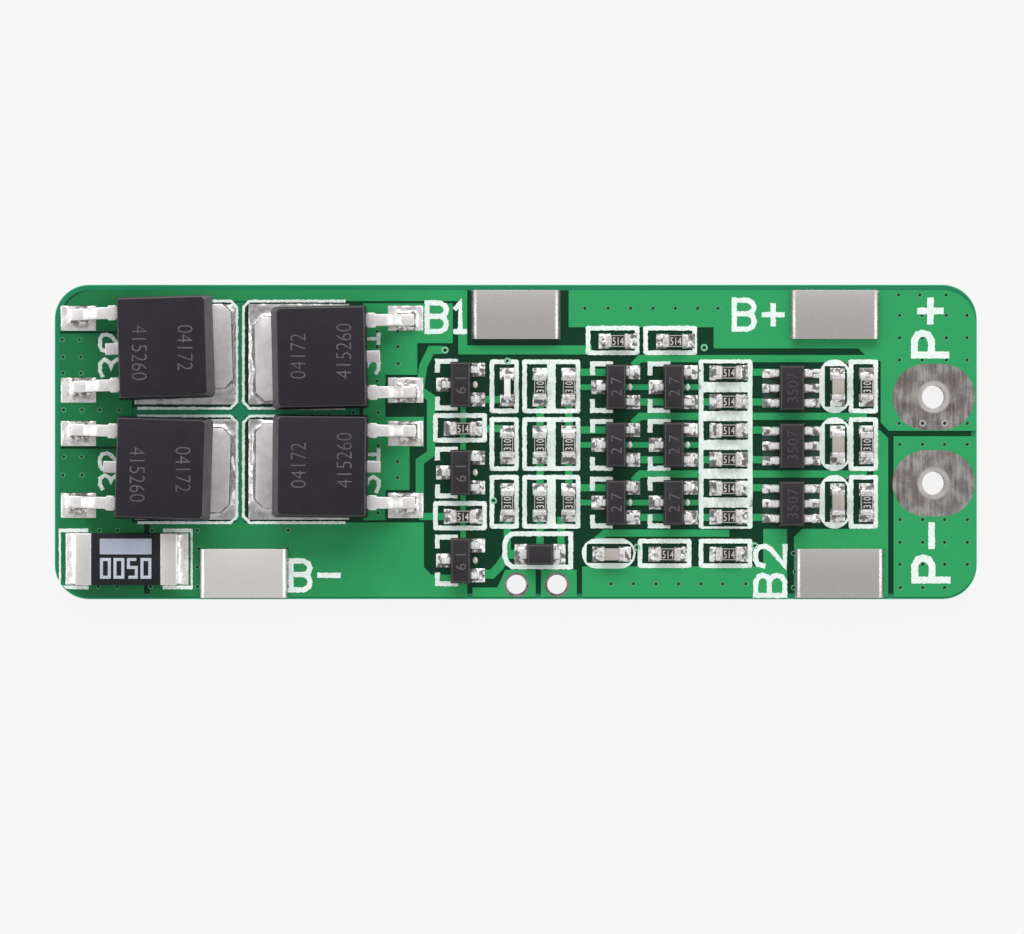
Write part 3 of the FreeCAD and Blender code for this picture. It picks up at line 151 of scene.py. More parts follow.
class Sheet:
    """A material being drawn: its node tree, its main shader and short ways to add nodes."""

    def __init__(self, name: str) -> None:
        """Starts a material with a principled shader.

        Args:
            name: The material's name.
        """
        self.material = bpy.data.materials.new(name)
        self.material.use_nodes = True
        self.tree = self.material.node_tree
        self.shader = self.tree.nodes["Principled BSDF"]
        self.place = self.tree.nodes.new("ShaderNodeTexCoord").outputs["Object"]

    def put(self, kind: str, inputs: dict[str, object] | None = None, **settings: object) -> bpy.types.Node:
        """Adds a node.

        Args:
            kind: The node's class, without its common start.
            inputs: Values or sockets for its inputs, by name or number.
            settings: Its own properties.

        Returns:
            The node.
        """
        node = self.tree.nodes.new("ShaderNode" + kind)
        for key, value in settings.items():
            setattr(node, key, value)
        for key, value in (inputs or {}).items():
            if isinstance(value, Socket):
                self.tree.links.new(value, node.inputs[key])
            else:
                node.inputs[key].default_value = value
        return node

    def grain(self, per_mm: float, detail: float = 3.0, rough: float = 0.5, axis: Axis = Axis.NONE
              ) -> Socket:
        """Adds noise.

        Args:
            per_mm: How many lumps there are in a millimetre.
            detail: How many finer layers it has.
            rough: How strong the finer layers are.
            axis: The way the grain runs.

        Returns:
            The noise's value.
        """
        vector = self.put("Mapping", {"Vector": self.place, "Scale": axis.value}).outputs[0]
        return self.put("TexNoise", {"Vector": vector, "Scale": per_mm / MM, "Detail": detail,
                                     "Roughness": rough}).outputs[0]

    def ramp(self, factor: Socket, *stops: tuple[float, object]) -> Socket:
        """Turns a value into a colour or a share.

        Args:
            factor: The value.
            stops: Pairs of a place from 0 to 1 and a colour or a number.

        Returns:
            The ramp's colour.
        """
        node = self.put("ValToRGB", {"Fac": factor})
        fill_ramp(node, stops)
        return node.outputs[0]

    def math(self, operation: str, a: object, b: object = 0.0) -> Socket:
        """Returns the result of one sum on two values."""
        return self.put("Math", {0: a, 1: b}, operation=operation).outputs[0]

    def mean(self, a: object, b: object) -> Socket:
        """Returns the mean of two values."""
        return self.math("MULTIPLY", self.math("ADD", a, b), 0.5)

    def clamp(self, value: object) -> Socket:
        """Returns a value kept from 0 to 1."""
        return self.put("Clamp", {"Value": value}).outputs[0]

    def vector(self, operation: str, *values: object, output: str = "Vector") -> Socket:
        """Returns the result of one sum on vectors."""
        return self.put("VectorMath", dict(enumerate(values)), operation=operation).outputs[output]

    def blend(self, factor: object, first: object, second: object, kind: str = "MIX") -> Socket:
        """Returns a mix of two colours.

        Args:
            factor: How much of the second shows.
            first: A colour or a socket.
            second: A colour or a socket.
            kind: The way they mix.

        Returns:
            The mixed colour.
        """
        node = self.put("Mix", data_type="RGBA", blend_type=kind)
        for socket, value in zip((node.inputs[0], node.inputs[6], node.inputs[7]), (factor, first, second)):
            if isinstance(value, Socket):
                self.tree.links.new(value, socket)
            else:
                socket.default_value = value
        return node.outputs[2]

    def relief(self, height: Socket, strength: float, depth_mm: float) -> None:
        """Adds a bump to the shader, on top of one that is there."""
        node = self.put("Bump", {"Height": height, "Strength": strength, "Distance": depth_mm * MM})
        normal = self.shader.inputs["Normal"]
        if normal.is_linked:
            self.tree.links.new(normal.links[0].from_socket, node.inputs["Normal"])
        self.tree.links.new(node.outputs[0], normal)

    def give(self, **values: object) -> None:
        """Sets inputs of the shader: a number or colour is set, and a socket is linked."""
        for key, value in values.items():
            socket = self.shader.inputs[key.replace("_", " ")]
            if isinstance(value, Socket):
                self.tree.links.new(value, socket)
            else:
                socket.default_value = value


class Finish:
    """A finish of any kind: its name, and the way in which it is drawn."""

    name: str

    def build(self) -> bpy.types.Material:
        """Returns the finished material."""
        sheet = Sheet(self.name)
        self.draw(sheet)
        return sheet.material

    def draw(self, sheet: Sheet) -> None:
        """Draws the finish on a sheet."""
        raise NotImplementedError


@dataclass(frozen=True)
class Metal(Finish):
    """A metal finish with lumps, grain and dull spots."""

    name: str
    colour: Colour
    dull: Colour
    roughness: tuple[float, float]
    grain_mm: float = 6.0
    spots_mm: float = 2.5
    relief: float = 0.25
    depth_mm: float = 0.01
    spot_range: tuple[float, float] = (0.38, 0.62)
    metallic: float = 0.85

    def draw(self, sheet: Sheet) -> None:
        """Draws the finish on a sheet."""
        spots = sheet.grain(self.spots_mm, 4.0, 0.6)
        low, high = self.spot_range
        smooth, rough = self.roughness
        sheet.give(Base_Color=sheet.ramp(spots, (low, self.dull), (high, self.colour)),
                   Metallic=self.metallic, Roughness=sheet.ramp(spots, (low, rough), (high, smooth)))
        sheet.relief(sheet.grain(self.grain_mm, 4.0, 0.6), self.relief, self.depth_mm)


@dataclass(frozen=True)
class Reflowed(Finish):
    """Solder that ran and froze: clean and pale out on the pad, streaked with burnt flux beside a foot, with
    a thin dark line of painted shade right at the foot's edge.

    The mesh carries the distance to the nearest foot, in millimetres, as the attribute "reach".
    """

    name: str
    clean: Colour = rgb(246, 244, 243)
    grey: Colour = rgb(222, 218, 218)
    burnt: Colour = rgb(92, 74, 70)
    dirty_to: float = 0.75
    # How far the dark line of painted shade at a foot's edge reaches, in millimetres.
    shade_line_to: float = 0.035
    spots_mm: float = 3.6
    clouds_mm: float = 1.6
    bumps_mm: float = 8.0
    burnt_share: float = 0.9
    # How dark that line of painted shade is.
    shade_line_share: float = 0.7
    bump: float = 0.6
    metallic: float = 0.55

    def draw(self, sheet: Sheet) -> None:
        """Draws the finish on a sheet."""
        reach = sheet.put("Attribute", attribute_name="reach").outputs["Fac"]
        near = sheet.ramp(sheet.math("DIVIDE", reach, self.dirty_to), (0.1, 1.0), (1.0, 0.0))
        # Painted shade: a thin dark line, in the flux's colour, where the foot meets the solder.
        line = sheet.ramp(sheet.math("DIVIDE", reach, self.shade_line_to), (0.3, 1.0), (1.0, 0.0))
        veins = sheet.grain(self.spots_mm, 3.0, rough=0.6)
        stained = sheet.ramp(veins, (0.46, 1.0), (0.56, 0.0))
        share = sheet.math("MULTIPLY", sheet.math("MULTIPLY", near, stained), self.burnt_share)
        share = sheet.math("MAXIMUM", share, sheet.math("MULTIPLY", line, self.shade_line_share))
        cloud = sheet.ramp(sheet.grain(self.clouds_mm), (0.35, self.grey), (0.6, self.clean))
        sheet.give(Base_Color=sheet.blend(share, cloud, self.burnt), Metallic=self.metallic,
                   Roughness=sheet.ramp(veins, (0.35, 0.42), (0.6, 0.22)))
        bumps = sheet.math("MULTIPLY", sheet.grain(self.bumps_mm, 4.0, 0.6), sheet.math("ADD", near, 0.15))
        sheet.relief(bumps, self.bump, 0.03)


@dataclass(frozen=True)
class Plastic(Finish):
    """A moulded, glazed or printed finish: a colour that varies a little, and a fine grain."""

    name: str
    colour: Colour
    other: Colour
    roughness: float
    grain_mm: float = 14.0
    relief: float = 0.3
    depth_mm: float = 0.008
    patches_mm: float = 0.8
    coat: float = 0.0
    specular: float = 0.5

    def draw(self, sheet: Sheet) -> None:
        """Draws the finish on a sheet."""
        patches = sheet.grain(self.patches_mm)
        grain = sheet.grain(self.grain_mm)
        colour = sheet.ramp(patches, (0.35, self.colour), (0.7, self.other))
        shade = sheet.ramp(grain, (0.3, 0.82), (0.7, 1.0))
        sheet.give(Base_Color=sheet.blend(1.0, colour, shade, "MULTIPLY"), Coat_Weight=self.coat,
                   Specular_IOR_Level=self.specular,
                   Roughness=sheet.ramp(grain, (0.3, self.roughness * 0.85), (0.7, self.roughness * 1.15)))
        sheet.relief(grain, self.relief, self.depth_mm)


@dataclass(frozen=True)
class Lacquer(Finish):
    """Green solder mask: light over copper, dark over bare laminate, painted lighter towards the right and
    where no copper would block light from the floor, with a painted highlight along the board's rim.

    The mask lies higher over copper, so its height tells the two apart. From below it is the other way.
    """

    name: str
    copper_high: bool = True
    # Painted light: over copper the mask goes from the darker left colour to the lighter right one along the
    # board.
    left: Colour = rgb(27, 110, 64)
    right: Colour = rgb(44, 151, 90)
    over_laminate: Colour = rgb(6, 54, 33)
    # Painted light: the mask over bare laminate is lighter at the border and on the cross between the power
    # pads, where no copper on either side would stop light from the floor shining up through the board.
    clear: Colour = rgb(30, 122, 86)
    # Painted highlight: a pale band along the board's outline, where the mask's rounded edge would catch the
    # light.
    rim: Colour = rgb(90, 186, 146)
    edge_highlight_width: float = 0.07 * MM
    fade: float = 22.0 * MM
    fade_start: float = 1.2
    board_half: Point = (29.484 * MM, 10.055 * MM)
    board_corner: float = 2.2 * MM
    level: float = 1.133 * MM
    level_fade: float = 0.012 * MM
    copper_half: Point = (29.1 * MM, 9.68 * MM)
    copper_corner: float = 1.85 * MM
    edge_fade: float = 0.05 * MM
    cross: Point = (-17.63 * MM, 1.92 * MM)
    cross_arm: float = 0.28 * MM
    power_end: float = -10.0 * MM
    patches_mm: float = 0.15
    patch_share: float = 0.9
    weave_mm: float = 9.0
    waves_mm: float = 1.2

    def draw(self, sheet: Sheet) -> None:
        """Draws the finish on a sheet."""
        x, y, z = sheet.put("SeparateXYZ", {"Vector": sheet.place}).outputs[:3]
        slope = (1 if self.copper_high else -1) / self.level_fade
        high = sheet.clamp(sheet.math("MULTIPLY", sheet.math("SUBTRACT", z, self.level), slope))
        # Painted light: lighter beyond the copper's outline and along the cross, as if lit through the board
        # from below.
        past = self.beyond(sheet, self.copper_half, self.copper_corner)
        edge = sheet.clamp(sheet.math("MULTIPLY", past, 1 / self.edge_fade))
        arms = sheet.math("MAXIMUM", self.strip(sheet, x, self.cross[0]), self.strip(sheet, y, self.cross[1]))
        cross = sheet.math("MULTIPLY", arms, sheet.math("LESS_THAN", x, self.power_end))
        bare = sheet.blend(sheet.math("MAXIMUM", edge, cross), self.over_laminate, self.clear)
        # Painted light: lighter towards the right along the board, broken up by random patches.
        along_board = sheet.math("ADD", sheet.math("DIVIDE", x, self.fade), self.fade_start)
        patches = sheet.math("SUBTRACT", sheet.grain(self.patches_mm, 2.0), 0.5)
        patches = sheet.math("MULTIPLY", patches, self.patch_share)
        copper = sheet.blend(sheet.clamp(sheet.math("ADD", along_board, patches)), self.left, self.right)
        weave = sheet.grain(self.weave_mm, 2.0)
        shade = sheet.ramp(weave, (0.3, 0.92), (0.7, 1.0))
        colour = sheet.blend(1.0, sheet.blend(high, bare, copper), shade, "MULTIPLY")
        # Painted highlight: the pale band along the board's outline.
        inside = sheet.math("DIVIDE", self.beyond(sheet, self.board_half, self.board_corner), self.edge_highlight_width)
        rim = sheet.ramp(sheet.math("ADD", inside, 1.0), (0.0, 0.0), (0.7, 0.8))
        sheet.give(Base_Color=sheet.blend(rim, colour, self.rim), Roughness=0.35, Specular_IOR_Level=0.2,
                   Coat_Weight=0.1, Coat_Roughness=0.12)
        sheet.relief(sheet.grain(self.waves_mm), 0.12, 0.02)
        sheet.relief(weave, 0.06, 0.01)

    def beyond(self, sheet: Sheet, half: Point, corner: float) -> Socket:
        """Returns how far a point lies outside a rounded outline, in metres."""
        away = sheet.vector("ABSOLUTE", sheet.place)
        over = sheet.vector("SUBTRACT", away, (half[0] - corner, half[1] - corner, 1.0))
        outside = sheet.vector("MAXIMUM", over, (0.0, 0.0, 0.0))
        return sheet.math("SUBTRACT", sheet.vector("LENGTH", outside, output="Value"), corner)

    def strip(self, sheet: Sheet, value: Socket, middle: float) -> Socket:
        """Returns 1 within an arm's width of a line, and 0 elsewhere."""
        away = sheet.math("ABSOLUTE", sheet.math("SUBTRACT", value, middle))
        return sheet.math("LESS_THAN", away, self.cross_arm)


@dataclass(frozen=True)
class Laminate(Finish):
    """Woven glass in epoxy, seen at the sawn edge as fine layers."""

    name: str = "woven_laminate"
    resin: Colour = rgb(176, 170, 108)
    glass: Colour = rgb(206, 202, 150)
    face: Colour = rgb(14, 58, 40)
    layers_mm: float = 7.0
    wave_turn: float = 6.28
    fibres_mm: float = 11.0
    face_depth: float = 0.004 * MM

    def draw(self, sheet: Sheet) -> None:
        """Draws the finish on a sheet."""
        height = sheet.put("SeparateXYZ", {"Vector": sheet.place}).outputs["Z"]
        on_face = sheet.math("GREATER_THAN", height, LAMINATE_TOP - self.face_depth)
        layers = sheet.put("TexWave", {
            "Vector": sheet.place, "Scale": self.layers_mm / MM / self.wave_turn, "Distortion": 1.5,
            "Detail": 3.0, "Detail Scale": 2.0}, bands_direction="Z").outputs[0]
        mixed = sheet.mean(layers, sheet.grain(self.fibres_mm, 4.0))
        colour = sheet.ramp(mixed, (0.35, self.resin), (0.65, self.glass))
        sheet.give(Base_Color=sheet.blend(on_face, colour, self.face), Roughness=0.6)
        sheet.relief(mixed, 0.35, 0.02)


@dataclass(frozen=True)
class TinnedPad(Finish):
    """Hot-dipped tin round a wire hole: grey streaks, and a smoother ring at the rim."""

    name: str
    hole: Point
    ring_reach: float = 1.224 * MM
    streaks_mm: float = 5.5
    blots_mm: float = 1.1
    base: Colour = rgb(160, 154, 152)
    dark: Colour = rgb(116, 107, 103)
    pale: Colour = rgb(226, 222, 217)

    def draw(self, sheet: Sheet) -> None:
        """Draws the finish on a sheet."""
        streaks = sheet.grain(self.streaks_mm, 5.0, 0.65, Axis.Y)
        mixed = sheet.mean(streaks, sheet.grain(self.blots_mm, 4.0))
        colour = sheet.ramp(mixed, (0.38, self.dark), (0.49, self.base), (0.62, self.pale))
        flat = sheet.vector("MULTIPLY", sheet.place, (1.0, 1.0, 0.0))
        reach = sheet.vector("DISTANCE", flat, (*self.hole, 0.0), output="Value")
        near = sheet.ramp(sheet.math("DIVIDE", reach, self.ring_reach), (0.78, 1.0), (0.9, 0.0))
        sheet.give(Base_Color=sheet.blend(near, colour, self.pale), Metallic=1.0,
                   Roughness=sheet.ramp(mixed, (0.35, 0.5), (0.65, 0.3)))
        sheet.relief(streaks, 0.5, 0.03)


LEAD = Metal("tinned_lead", rgb(212, 208, 209), rgb(196, 191, 193), (0.4, 0.5), 5.0, 1.2, relief=0.15)
LEG = Metal("bright_lead", rgb(240, 238, 237), rgb(220, 217, 217), (0.34, 0.45), 5.0, 2.4, relief=0.2,
            metallic=0.5)
CAP = Metal("plated_end", rgb(244, 242, 241), rgb(176, 171, 170), (0.3, 0.5), 8.0, 4.5, relief=0.3,
            depth_mm=0.012, spot_range=(0.36, 0.56), metallic=0.6)
SOLDER = Reflowed("power_solder")
SOLDER_CLEAN = Reflowed("clean_solder", rgb(214, 211, 212), rgb(198, 195, 196), burnt_share=0.1, shade_line_to=0.05,
                        metallic=0.85)
SOLDER_BRIGHT = Reflowed("bright_solder", rgb(252, 251, 250), rgb(240, 238, 237), burnt_share=0.2,
                         shade_line_to=0.06, dirty_to=0.3, metallic=0.4)
SOLDER_SMALL = Reflowed("small_solder", rgb(255, 255, 254), rgb(236, 236, 235), rgb(74, 69, 67),
                        dirty_to=2.0, shade_line_to=0.03, spots_mm=3.0, bump=1.0, metallic=0.4)
NICKEL_PALE = Metal("pale_nickel", rgb(240, 238, 235), rgb(226, 223, 220), (0.34, 0.44), 13.0, 7.0,
                    relief=0.3, depth_mm=0.008, metallic=0.75)
NICKEL = Metal("brushed_nickel", rgb(214, 210, 207), rgb(196, 191, 188), (0.34, 0.44), 13.0, 7.0, relief=0.45,
               depth_mm=0.008)
RING = Metal("plated_ring", rgb(190, 184, 182), rgb(110, 104, 102), (0.25, 0.45), 6.0, 4.0)
COPPER = Metal("bare_copper", rgb(214, 140, 104), rgb(170, 100, 70), (0.3, 0.5))
MOULD = Plastic("black_epoxy", rgb(37, 34, 40), rgb(41, 38, 43), 0.5, relief=0.2, specular=0.2)
# Painted highlight: a lighter epoxy for the sloping faces of the power transistors, where they would catch
# the side light.
MOULD_SLOPE_HIGHLIGHT = Plastic("black_epoxy_edge", rgb(94, 88, 91), rgb(84, 78, 81), 0.55, specular=0.3)
MOULD_SMALL = Plastic("black_epoxy_small", rgb(44, 41, 44), rgb(50, 47, 50), 0.48, grain_mm=18.0,
                      specular=0.2)
# Painted highlight: the same lighter epoxy for the sloping faces of the small packages.
MOULD_SMALL_SLOPE_HIGHLIGHT = Plastic("black_epoxy_small_edge", rgb(80, 75, 78), rgb(68, 64, 67), 0.5, specular=0.3)
ETCH = Plastic("laser_etch", rgb(104, 99, 104), rgb(82, 78, 83), 0.7, grain_mm=20.0, specular=0.2)
INK = Plastic("white_ink", rgb(232, 242, 236), rgb(216, 230, 223), 0.6, grain_mm=8.0, relief=0.4)
ETCH_FAINT = Plastic("faint_etch", rgb(76, 72, 76), rgb(62, 58, 62), 0.6, grain_mm=20.0, specular=0.2)
GLAZE = Plastic("black_glaze", rgb(26, 26, 28), rgb(36, 35, 37), 0.3, grain_mm=10.0, relief=0.15, coat=0.3)
GLAZE_PRINT = Plastic("pale_print", rgb(206, 202, 196), rgb(178, 174, 170), 0.55)
CERAMIC = Plastic("white_ceramic", rgb(240, 239, 236), rgb(226, 225, 222), 0.45)
CAPACITOR = Plastic("tan_ceramic", rgb(164, 157, 149), rgb(176, 169, 161), 0.4)
SHUNT_COAT = Plastic("shunt_coat", rgb(22, 24, 31), rgb(28, 29, 37), 0.5, specular=0.25)
SHUNT_PRINT = Plastic("shunt_print", rgb(188, 194, 208), rgb(174, 180, 195), 0.55)
SHUNT_PANEL = Plastic("shunt_panel_print", rgb(164, 171, 187), rgb(154, 161, 177), 0.55)
# Painted shade: the dark disc where a via's hole is, standing in for the shade inside it.
VIA_HOLE_SHADE = Plastic("via_hole", rgb(8, 44, 27), rgb(12, 56, 34), 0.3, coat=0.1)
# Painted highlight: the vias' raised rings of mask are real, but their pale colours, lighter than the mask,
# are painted highlight.
VIA_RIM_HIGHLIGHT = Plastic("via_rim", rgb(104, 184, 138), rgb(80, 162, 114), 0.35)
VIA_RING_HIGHLIGHT = Plastic("via_ring", rgb(140, 204, 166), rgb(112, 182, 140), 0.4)
LACQUER_TOP = Lacquer("green_lacquer_top")
LACQUER_BOTTOM = Lacquer("green_lacquer_bottom", copper_high=False, level=0.017 * MM)

_made: dict[str, bpy.types.Material] = {}


def material(finish: Finish) -> bpy.types.Material:
    """Returns a finish's material, which is built once."""
    if finish.name not in _made:
        _made[finish.name] = finish.build()
    return _made[finish.name]


def data_of(name: str, mesh: Mesh) -> bpy.types.Mesh:
    """Turns a mesh being edited into mesh data of that name, and frees it."""
    data = bpy.data.meshes.new(name)
    mesh.to_mesh(data)
    mesh.free()
    return data


def put_in(name: str, data: bpy.types.ID) -> bpy.types.Object:
    """Puts an object with some data into the scene, and returns it."""
    item = bpy.data.objects.new(name, data)
    bpy.context.scene.collection.objects.link(item)
    return item


def finished(name: str, mesh: Mesh, finish: Finish, nodes: tuple[str, ...] = (),
             crease: float = 35.0, slope_highlight: Finish | None = None) -> None:
    """Makes a piece of a mesh: its object, finish and body.

    Args:
        name: The piece's name.
        mesh: Its shape, in place.
        finish: Its finish.
        nodes: The solids that it stands for.
        crease: Edges that turn by more than this many degrees stay sharp.
        slope_highlight: A second, lighter finish for the sloping faces that paint_slope_highlight picks: a
            painted highlight.
    """
    data = data_of(name, mesh)
    data.shade_smooth()
    data.set_sharp_from_angle(angle=math.radians(crease))
    for each in (finish, slope_highlight):
        if each:
            data.materials.append(material(each))
    piece = put_in(name, data)
    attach(piece, ROOT)
    if nodes:
        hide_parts(*nodes)
    LOG.info("%s: %d faces", name, len(data.polygons))


def dress(nodes: Nodes, node: str, finish: Finish) -> None:
    """Gives a solid that stays its finish."""
    data = nodes[node].data
    data.materials.clear()
    data.materials.append(material(finish))
    LOG.info("%s: dressed", node)


def copy_of(nodes: Nodes, *names: str) -> Mesh:
    """Copies solids into one mesh, with their triangles merged into flat faces.

    Args:
        nodes: The frame's solids.
        names: Those to copy.

    Returns:
        The copy.
    """
    mesh = bmesh.new()
    for name in names:
        mesh.from_mesh(nodes[name].data)
    bmesh.ops.remove_doubles(mesh, verts=mesh.verts, dist=CLOSE / 2)
    bmesh.ops.dissolve_limit(mesh, angle_limit=FLAT_TURN, verts=mesh.verts, edges=mesh.edges)
    return mesh


def rounded(mesh: Mesh, edges: list[bmesh.types.BMEdge], radius: float, segments: int) -> None:
    """Rounds some edges of a mesh."""
    bmesh.ops.bevel(mesh, geom=edges, offset=radius, offset_type="OFFSET", segments=segments, profile=0.5,
                    affect="EDGES", clamp_overlap=True, material=-1)


def soften(mesh: Mesh, radius: float, segments: int = 2, turn: float = 30.0
           ) -> Mesh:
    """Rounds the edges that turn by more than some degrees, and returns the mesh."""
    edges = [edge for edge in mesh.edges if edge.is_manifold and edge.calc_face_angle() > math.radians(turn)]
    rounded(mesh, edges, radius, segments)
    return mesh


def paint_slope_highlight(mesh: Mesh, low: float = 0.22, high: float = 0.94) -> Mesh:
    """Gives the sloping faces of a moulded body its second finish, a lighter one that is a painted highlight
    where they would catch the side light, and returns the mesh.
    """
    for face in mesh.faces:
        face.material_index = 1 if low < face.normal.z < high else 0
    return mesh


def islands(mesh: Mesh) -> list[list[bmesh.types.BMVert]]:
    """Returns the vertices of each separate shell of a mesh."""
    groups = []
    seen: set[bmesh.types.BMVert] = set()
    for start in mesh.verts:
        if start in seen:
            continue
        group = []
        waiting = [start]
        seen.add(start)
        while waiting:
            vert = waiting.pop()
            group.append(vert)
            for edge in vert.link_edges:
                other = edge.other_vert(vert)
                if other not in seen:
                    seen.add(other)
                    waiting.append(other)
        groups.append(group)
    return groups


def hull_of(flat: list[Vector]) -> list[Vector]:
    """Returns the corners round some points in a plane, in order."""
    return [flat[k] for k in geometry.convex_hull_2d(flat)]


def spread(points: list[Vector]) -> tuple[Vector, Vector]:
    """Returns the lowest and highest corners of some points."""
    return (Vector(min(point[k] for point in points) for k in range(3)),
            Vector(max(point[k] for point in points) for k in range(3)))


@dataclass
class Studio:
    """The floor, the light and the camera over the board."""

    distance: float = 260.0 * MM
    focus: Point = (-0.24 * MM, -1.6 * MM)
    lens: float = 142.96
    sensor: float = 36.0
    clip_start: float = 0.005
    backdrop: Colour = (0.93, 0.93, 0.93, 1.0)
    backdrop_share: float = 0.93
    floor_colour: Colour = (0.86, 0.86, 0.86, 1.0)
    floor_half: float = 1.2
    floor_drop: float = 0.02 * MM
    floor_near: float = 0.15 * MM
    sky: tuple[Point, ...] = ((0.0, 0.5), (0.3, 1.0), (0.65, 1.0), (0.88, 0.62), (0.97, 0.42), (1.0, 0.4))
    sky_strength: float = 0.8
    lamps_at: tuple[tuple[str, tuple[float, float, float], Point, float], ...] = (
        ("back", (0.0, 0.36, 0.26), (0.6, 0.16), 1.7),
        ("left", (-0.42, 0.0, 0.2), (0.12, 0.5), 0.6),
        ("right", (0.42, 0.0, 0.2), (0.12, 0.5), 0.6),
    )

    def build(self) -> None:
        """Builds all of it."""
        self.floor()
        self.world()
        self.lamps()
        self.camera()

    def floor(self) -> None:
        """Lays a pale floor that keeps a soft shadow, and that can't be seen from below."""
        mesh = bmesh.new()
        bmesh.ops.create_grid(mesh, x_segments=1, y_segments=1, size=self.floor_half,
                              matrix=Matrix.Translation((0, 0, -self.floor_drop)))
        floor = put_in("floor", data_of("floor", mesh))
        sheet = Sheet("pale_floor")
        sheet.give(Base_Color=self.floor_colour, Roughness=0.9, Specular_IOR_Level=0.1)
        path = sheet.put("LightPath")
        seen = sheet.math("MAXIMUM", path.outputs["Is Camera Ray"], path.outputs["Is Transmission Ray"])
        glow = sheet.put("Emission", {"Color": self.backdrop})
        share = sheet.math("MULTIPLY", seen, self.backdrop_share)
        mixed = sheet.put("MixShader", {0: share, 1: sheet.shader.outputs[0], 2: glow.outputs[0]})
        near = sheet.math("LESS_THAN", path.outputs["Ray Length"], self.floor_near)
        below = sheet.math("MAXIMUM", sheet.put("NewGeometry").outputs["Backfacing"], near)
        clear = sheet.put("BsdfTransparent")
        shown = sheet.put("MixShader", {0: below, 1: mixed.outputs[0], 2: clear.outputs[0]})
        sheet.tree.links.new(shown.outputs[0], sheet.tree.nodes["Material Output"].inputs["Surface"])
        floor.data.materials.append(sheet.material)

    def world(self) -> None:
        """Fills the sky: even overhead, brighter half way down, dimmer at the horizon."""
        world = bpy.data.worlds.new("studio")
        bpy.context.scene.world = world
        world.use_nodes = True
        tree = world.node_tree
        place = tree.nodes.new("ShaderNodeTexCoord")
        parts = tree.nodes.new("ShaderNodeSeparateXYZ")
        ramp = tree.nodes.new("ShaderNodeValToRGB")
        tree.links.new(place.outputs["Generated"], parts.inputs[0])
        tree.links.new(parts.outputs["Z"], ramp.inputs[0])
        fill_ramp(ramp, self.sky)
        tree.links.new(ramp.outputs[0], tree.nodes["Background"].inputs["Color"])
        tree.nodes["Background"].inputs["Strength"].default_value = self.sky_strength

    def lamps(self) -> None:
        """Hangs a large soft lamp behind the board and a strip on each side of it."""
        for name, place, size, power in self.lamps_at:
            lamp = bpy.data.lights.new(name, "AREA")
            lamp.shape = "RECTANGLE"
            lamp.size, lamp.size_y = size
            lamp.energy = power
            holder = put_in(name, lamp)
            holder.location = place
            holder.rotation_euler = (-Vector(place)).to_track_quat("-Z", "Y").to_euler()

    def camera(self) -> None:
        """Hangs the camera straight over the board."""
        data = bpy.data.cameras.new("camera")
        data.lens = self.lens
        data.sensor_width = self.sensor
        data.sensor_fit = "HORIZONTAL"
        data.clip_start = self.clip_start
        camera = put_in("camera", data)
        camera.location = (*self.focus, MASK_TOP + self.distance)
        bpy.context.scene.camera = camera
        bpy.context.scene.view_settings.view_transform = "Standard"


# The small vias by row: the row's y and the x of each, in millimetres
VIA_ROWS = (
    (8.57, (4.4, 5.89, 7.33, 8.76, 10.18, 11.61, 12.9)),
    (-9.05, (6.08, 7.51, 8.95, 10.38, 11.82, 13.21, 14.69)),
    (9.42, (24.47, 25.82, 27.5)), (8.12, (24.52, 25.96, 27.51, 28.83)), (6.68, (24.52, 25.96, 27.51, 28.83)),
    (5.26, (24.52, 25.96, 27.51, 28.83)), (1.22, (24.5, 28.85)), (-0.13, (24.54, 26.0, 27.4, 28.85)),
    (-4.94, (24.54, 26.0, 27.4, 28.85)), (-6.39, (24.54, 26.0, 27.4, 28.85)),
    (-7.8, (24.54, 26.0, 27.4, 28.85)), (-9.29, (24.57, 26.0, 27.4)), (-7.09, (17.73,)), (-8.28, (17.84,)),
    (-9.29, (17.73,)), (6.56, (-29.03, -27.92)), (5.46, (-28.98, -27.84)), (4.43, (-28.98, -27.82)),
    (2.08, (-28.94, -27.77, -26.62)), (2.07, (-25.37,)), (-0.92, (-28.92, -27.78)), (-2.09, (-28.99, -27.76)),
    (-5.63, (-26.65, -25.48, -23.28, -20.38, -14.57)), (-9.22, (-26.72, -25.52, -23.38, -20.38)),
    (-6.8, (-20.3, -14.62)), (-7.96, (-20.38, -14.54)), (7.07, (-8.89, -7.57)), (6.11, (-8.88, -7.55)),
    (5.03, (-7.52,)), (3.91, (-8.89,)), (1.9, (-10.42, -8.81)), (-0.22, (-8.82,)), (-1.24, (-7.57,)),
    (-2.26, (-7.57,)), (-4.52, (-8.82,)),
)
RING_VIAS = ((-4.55, 5.9), (-0.55, 5.19), (-1.45, -3.73), (12.02, 6.06), (7.72, -6.71), (15.25, -6.62))


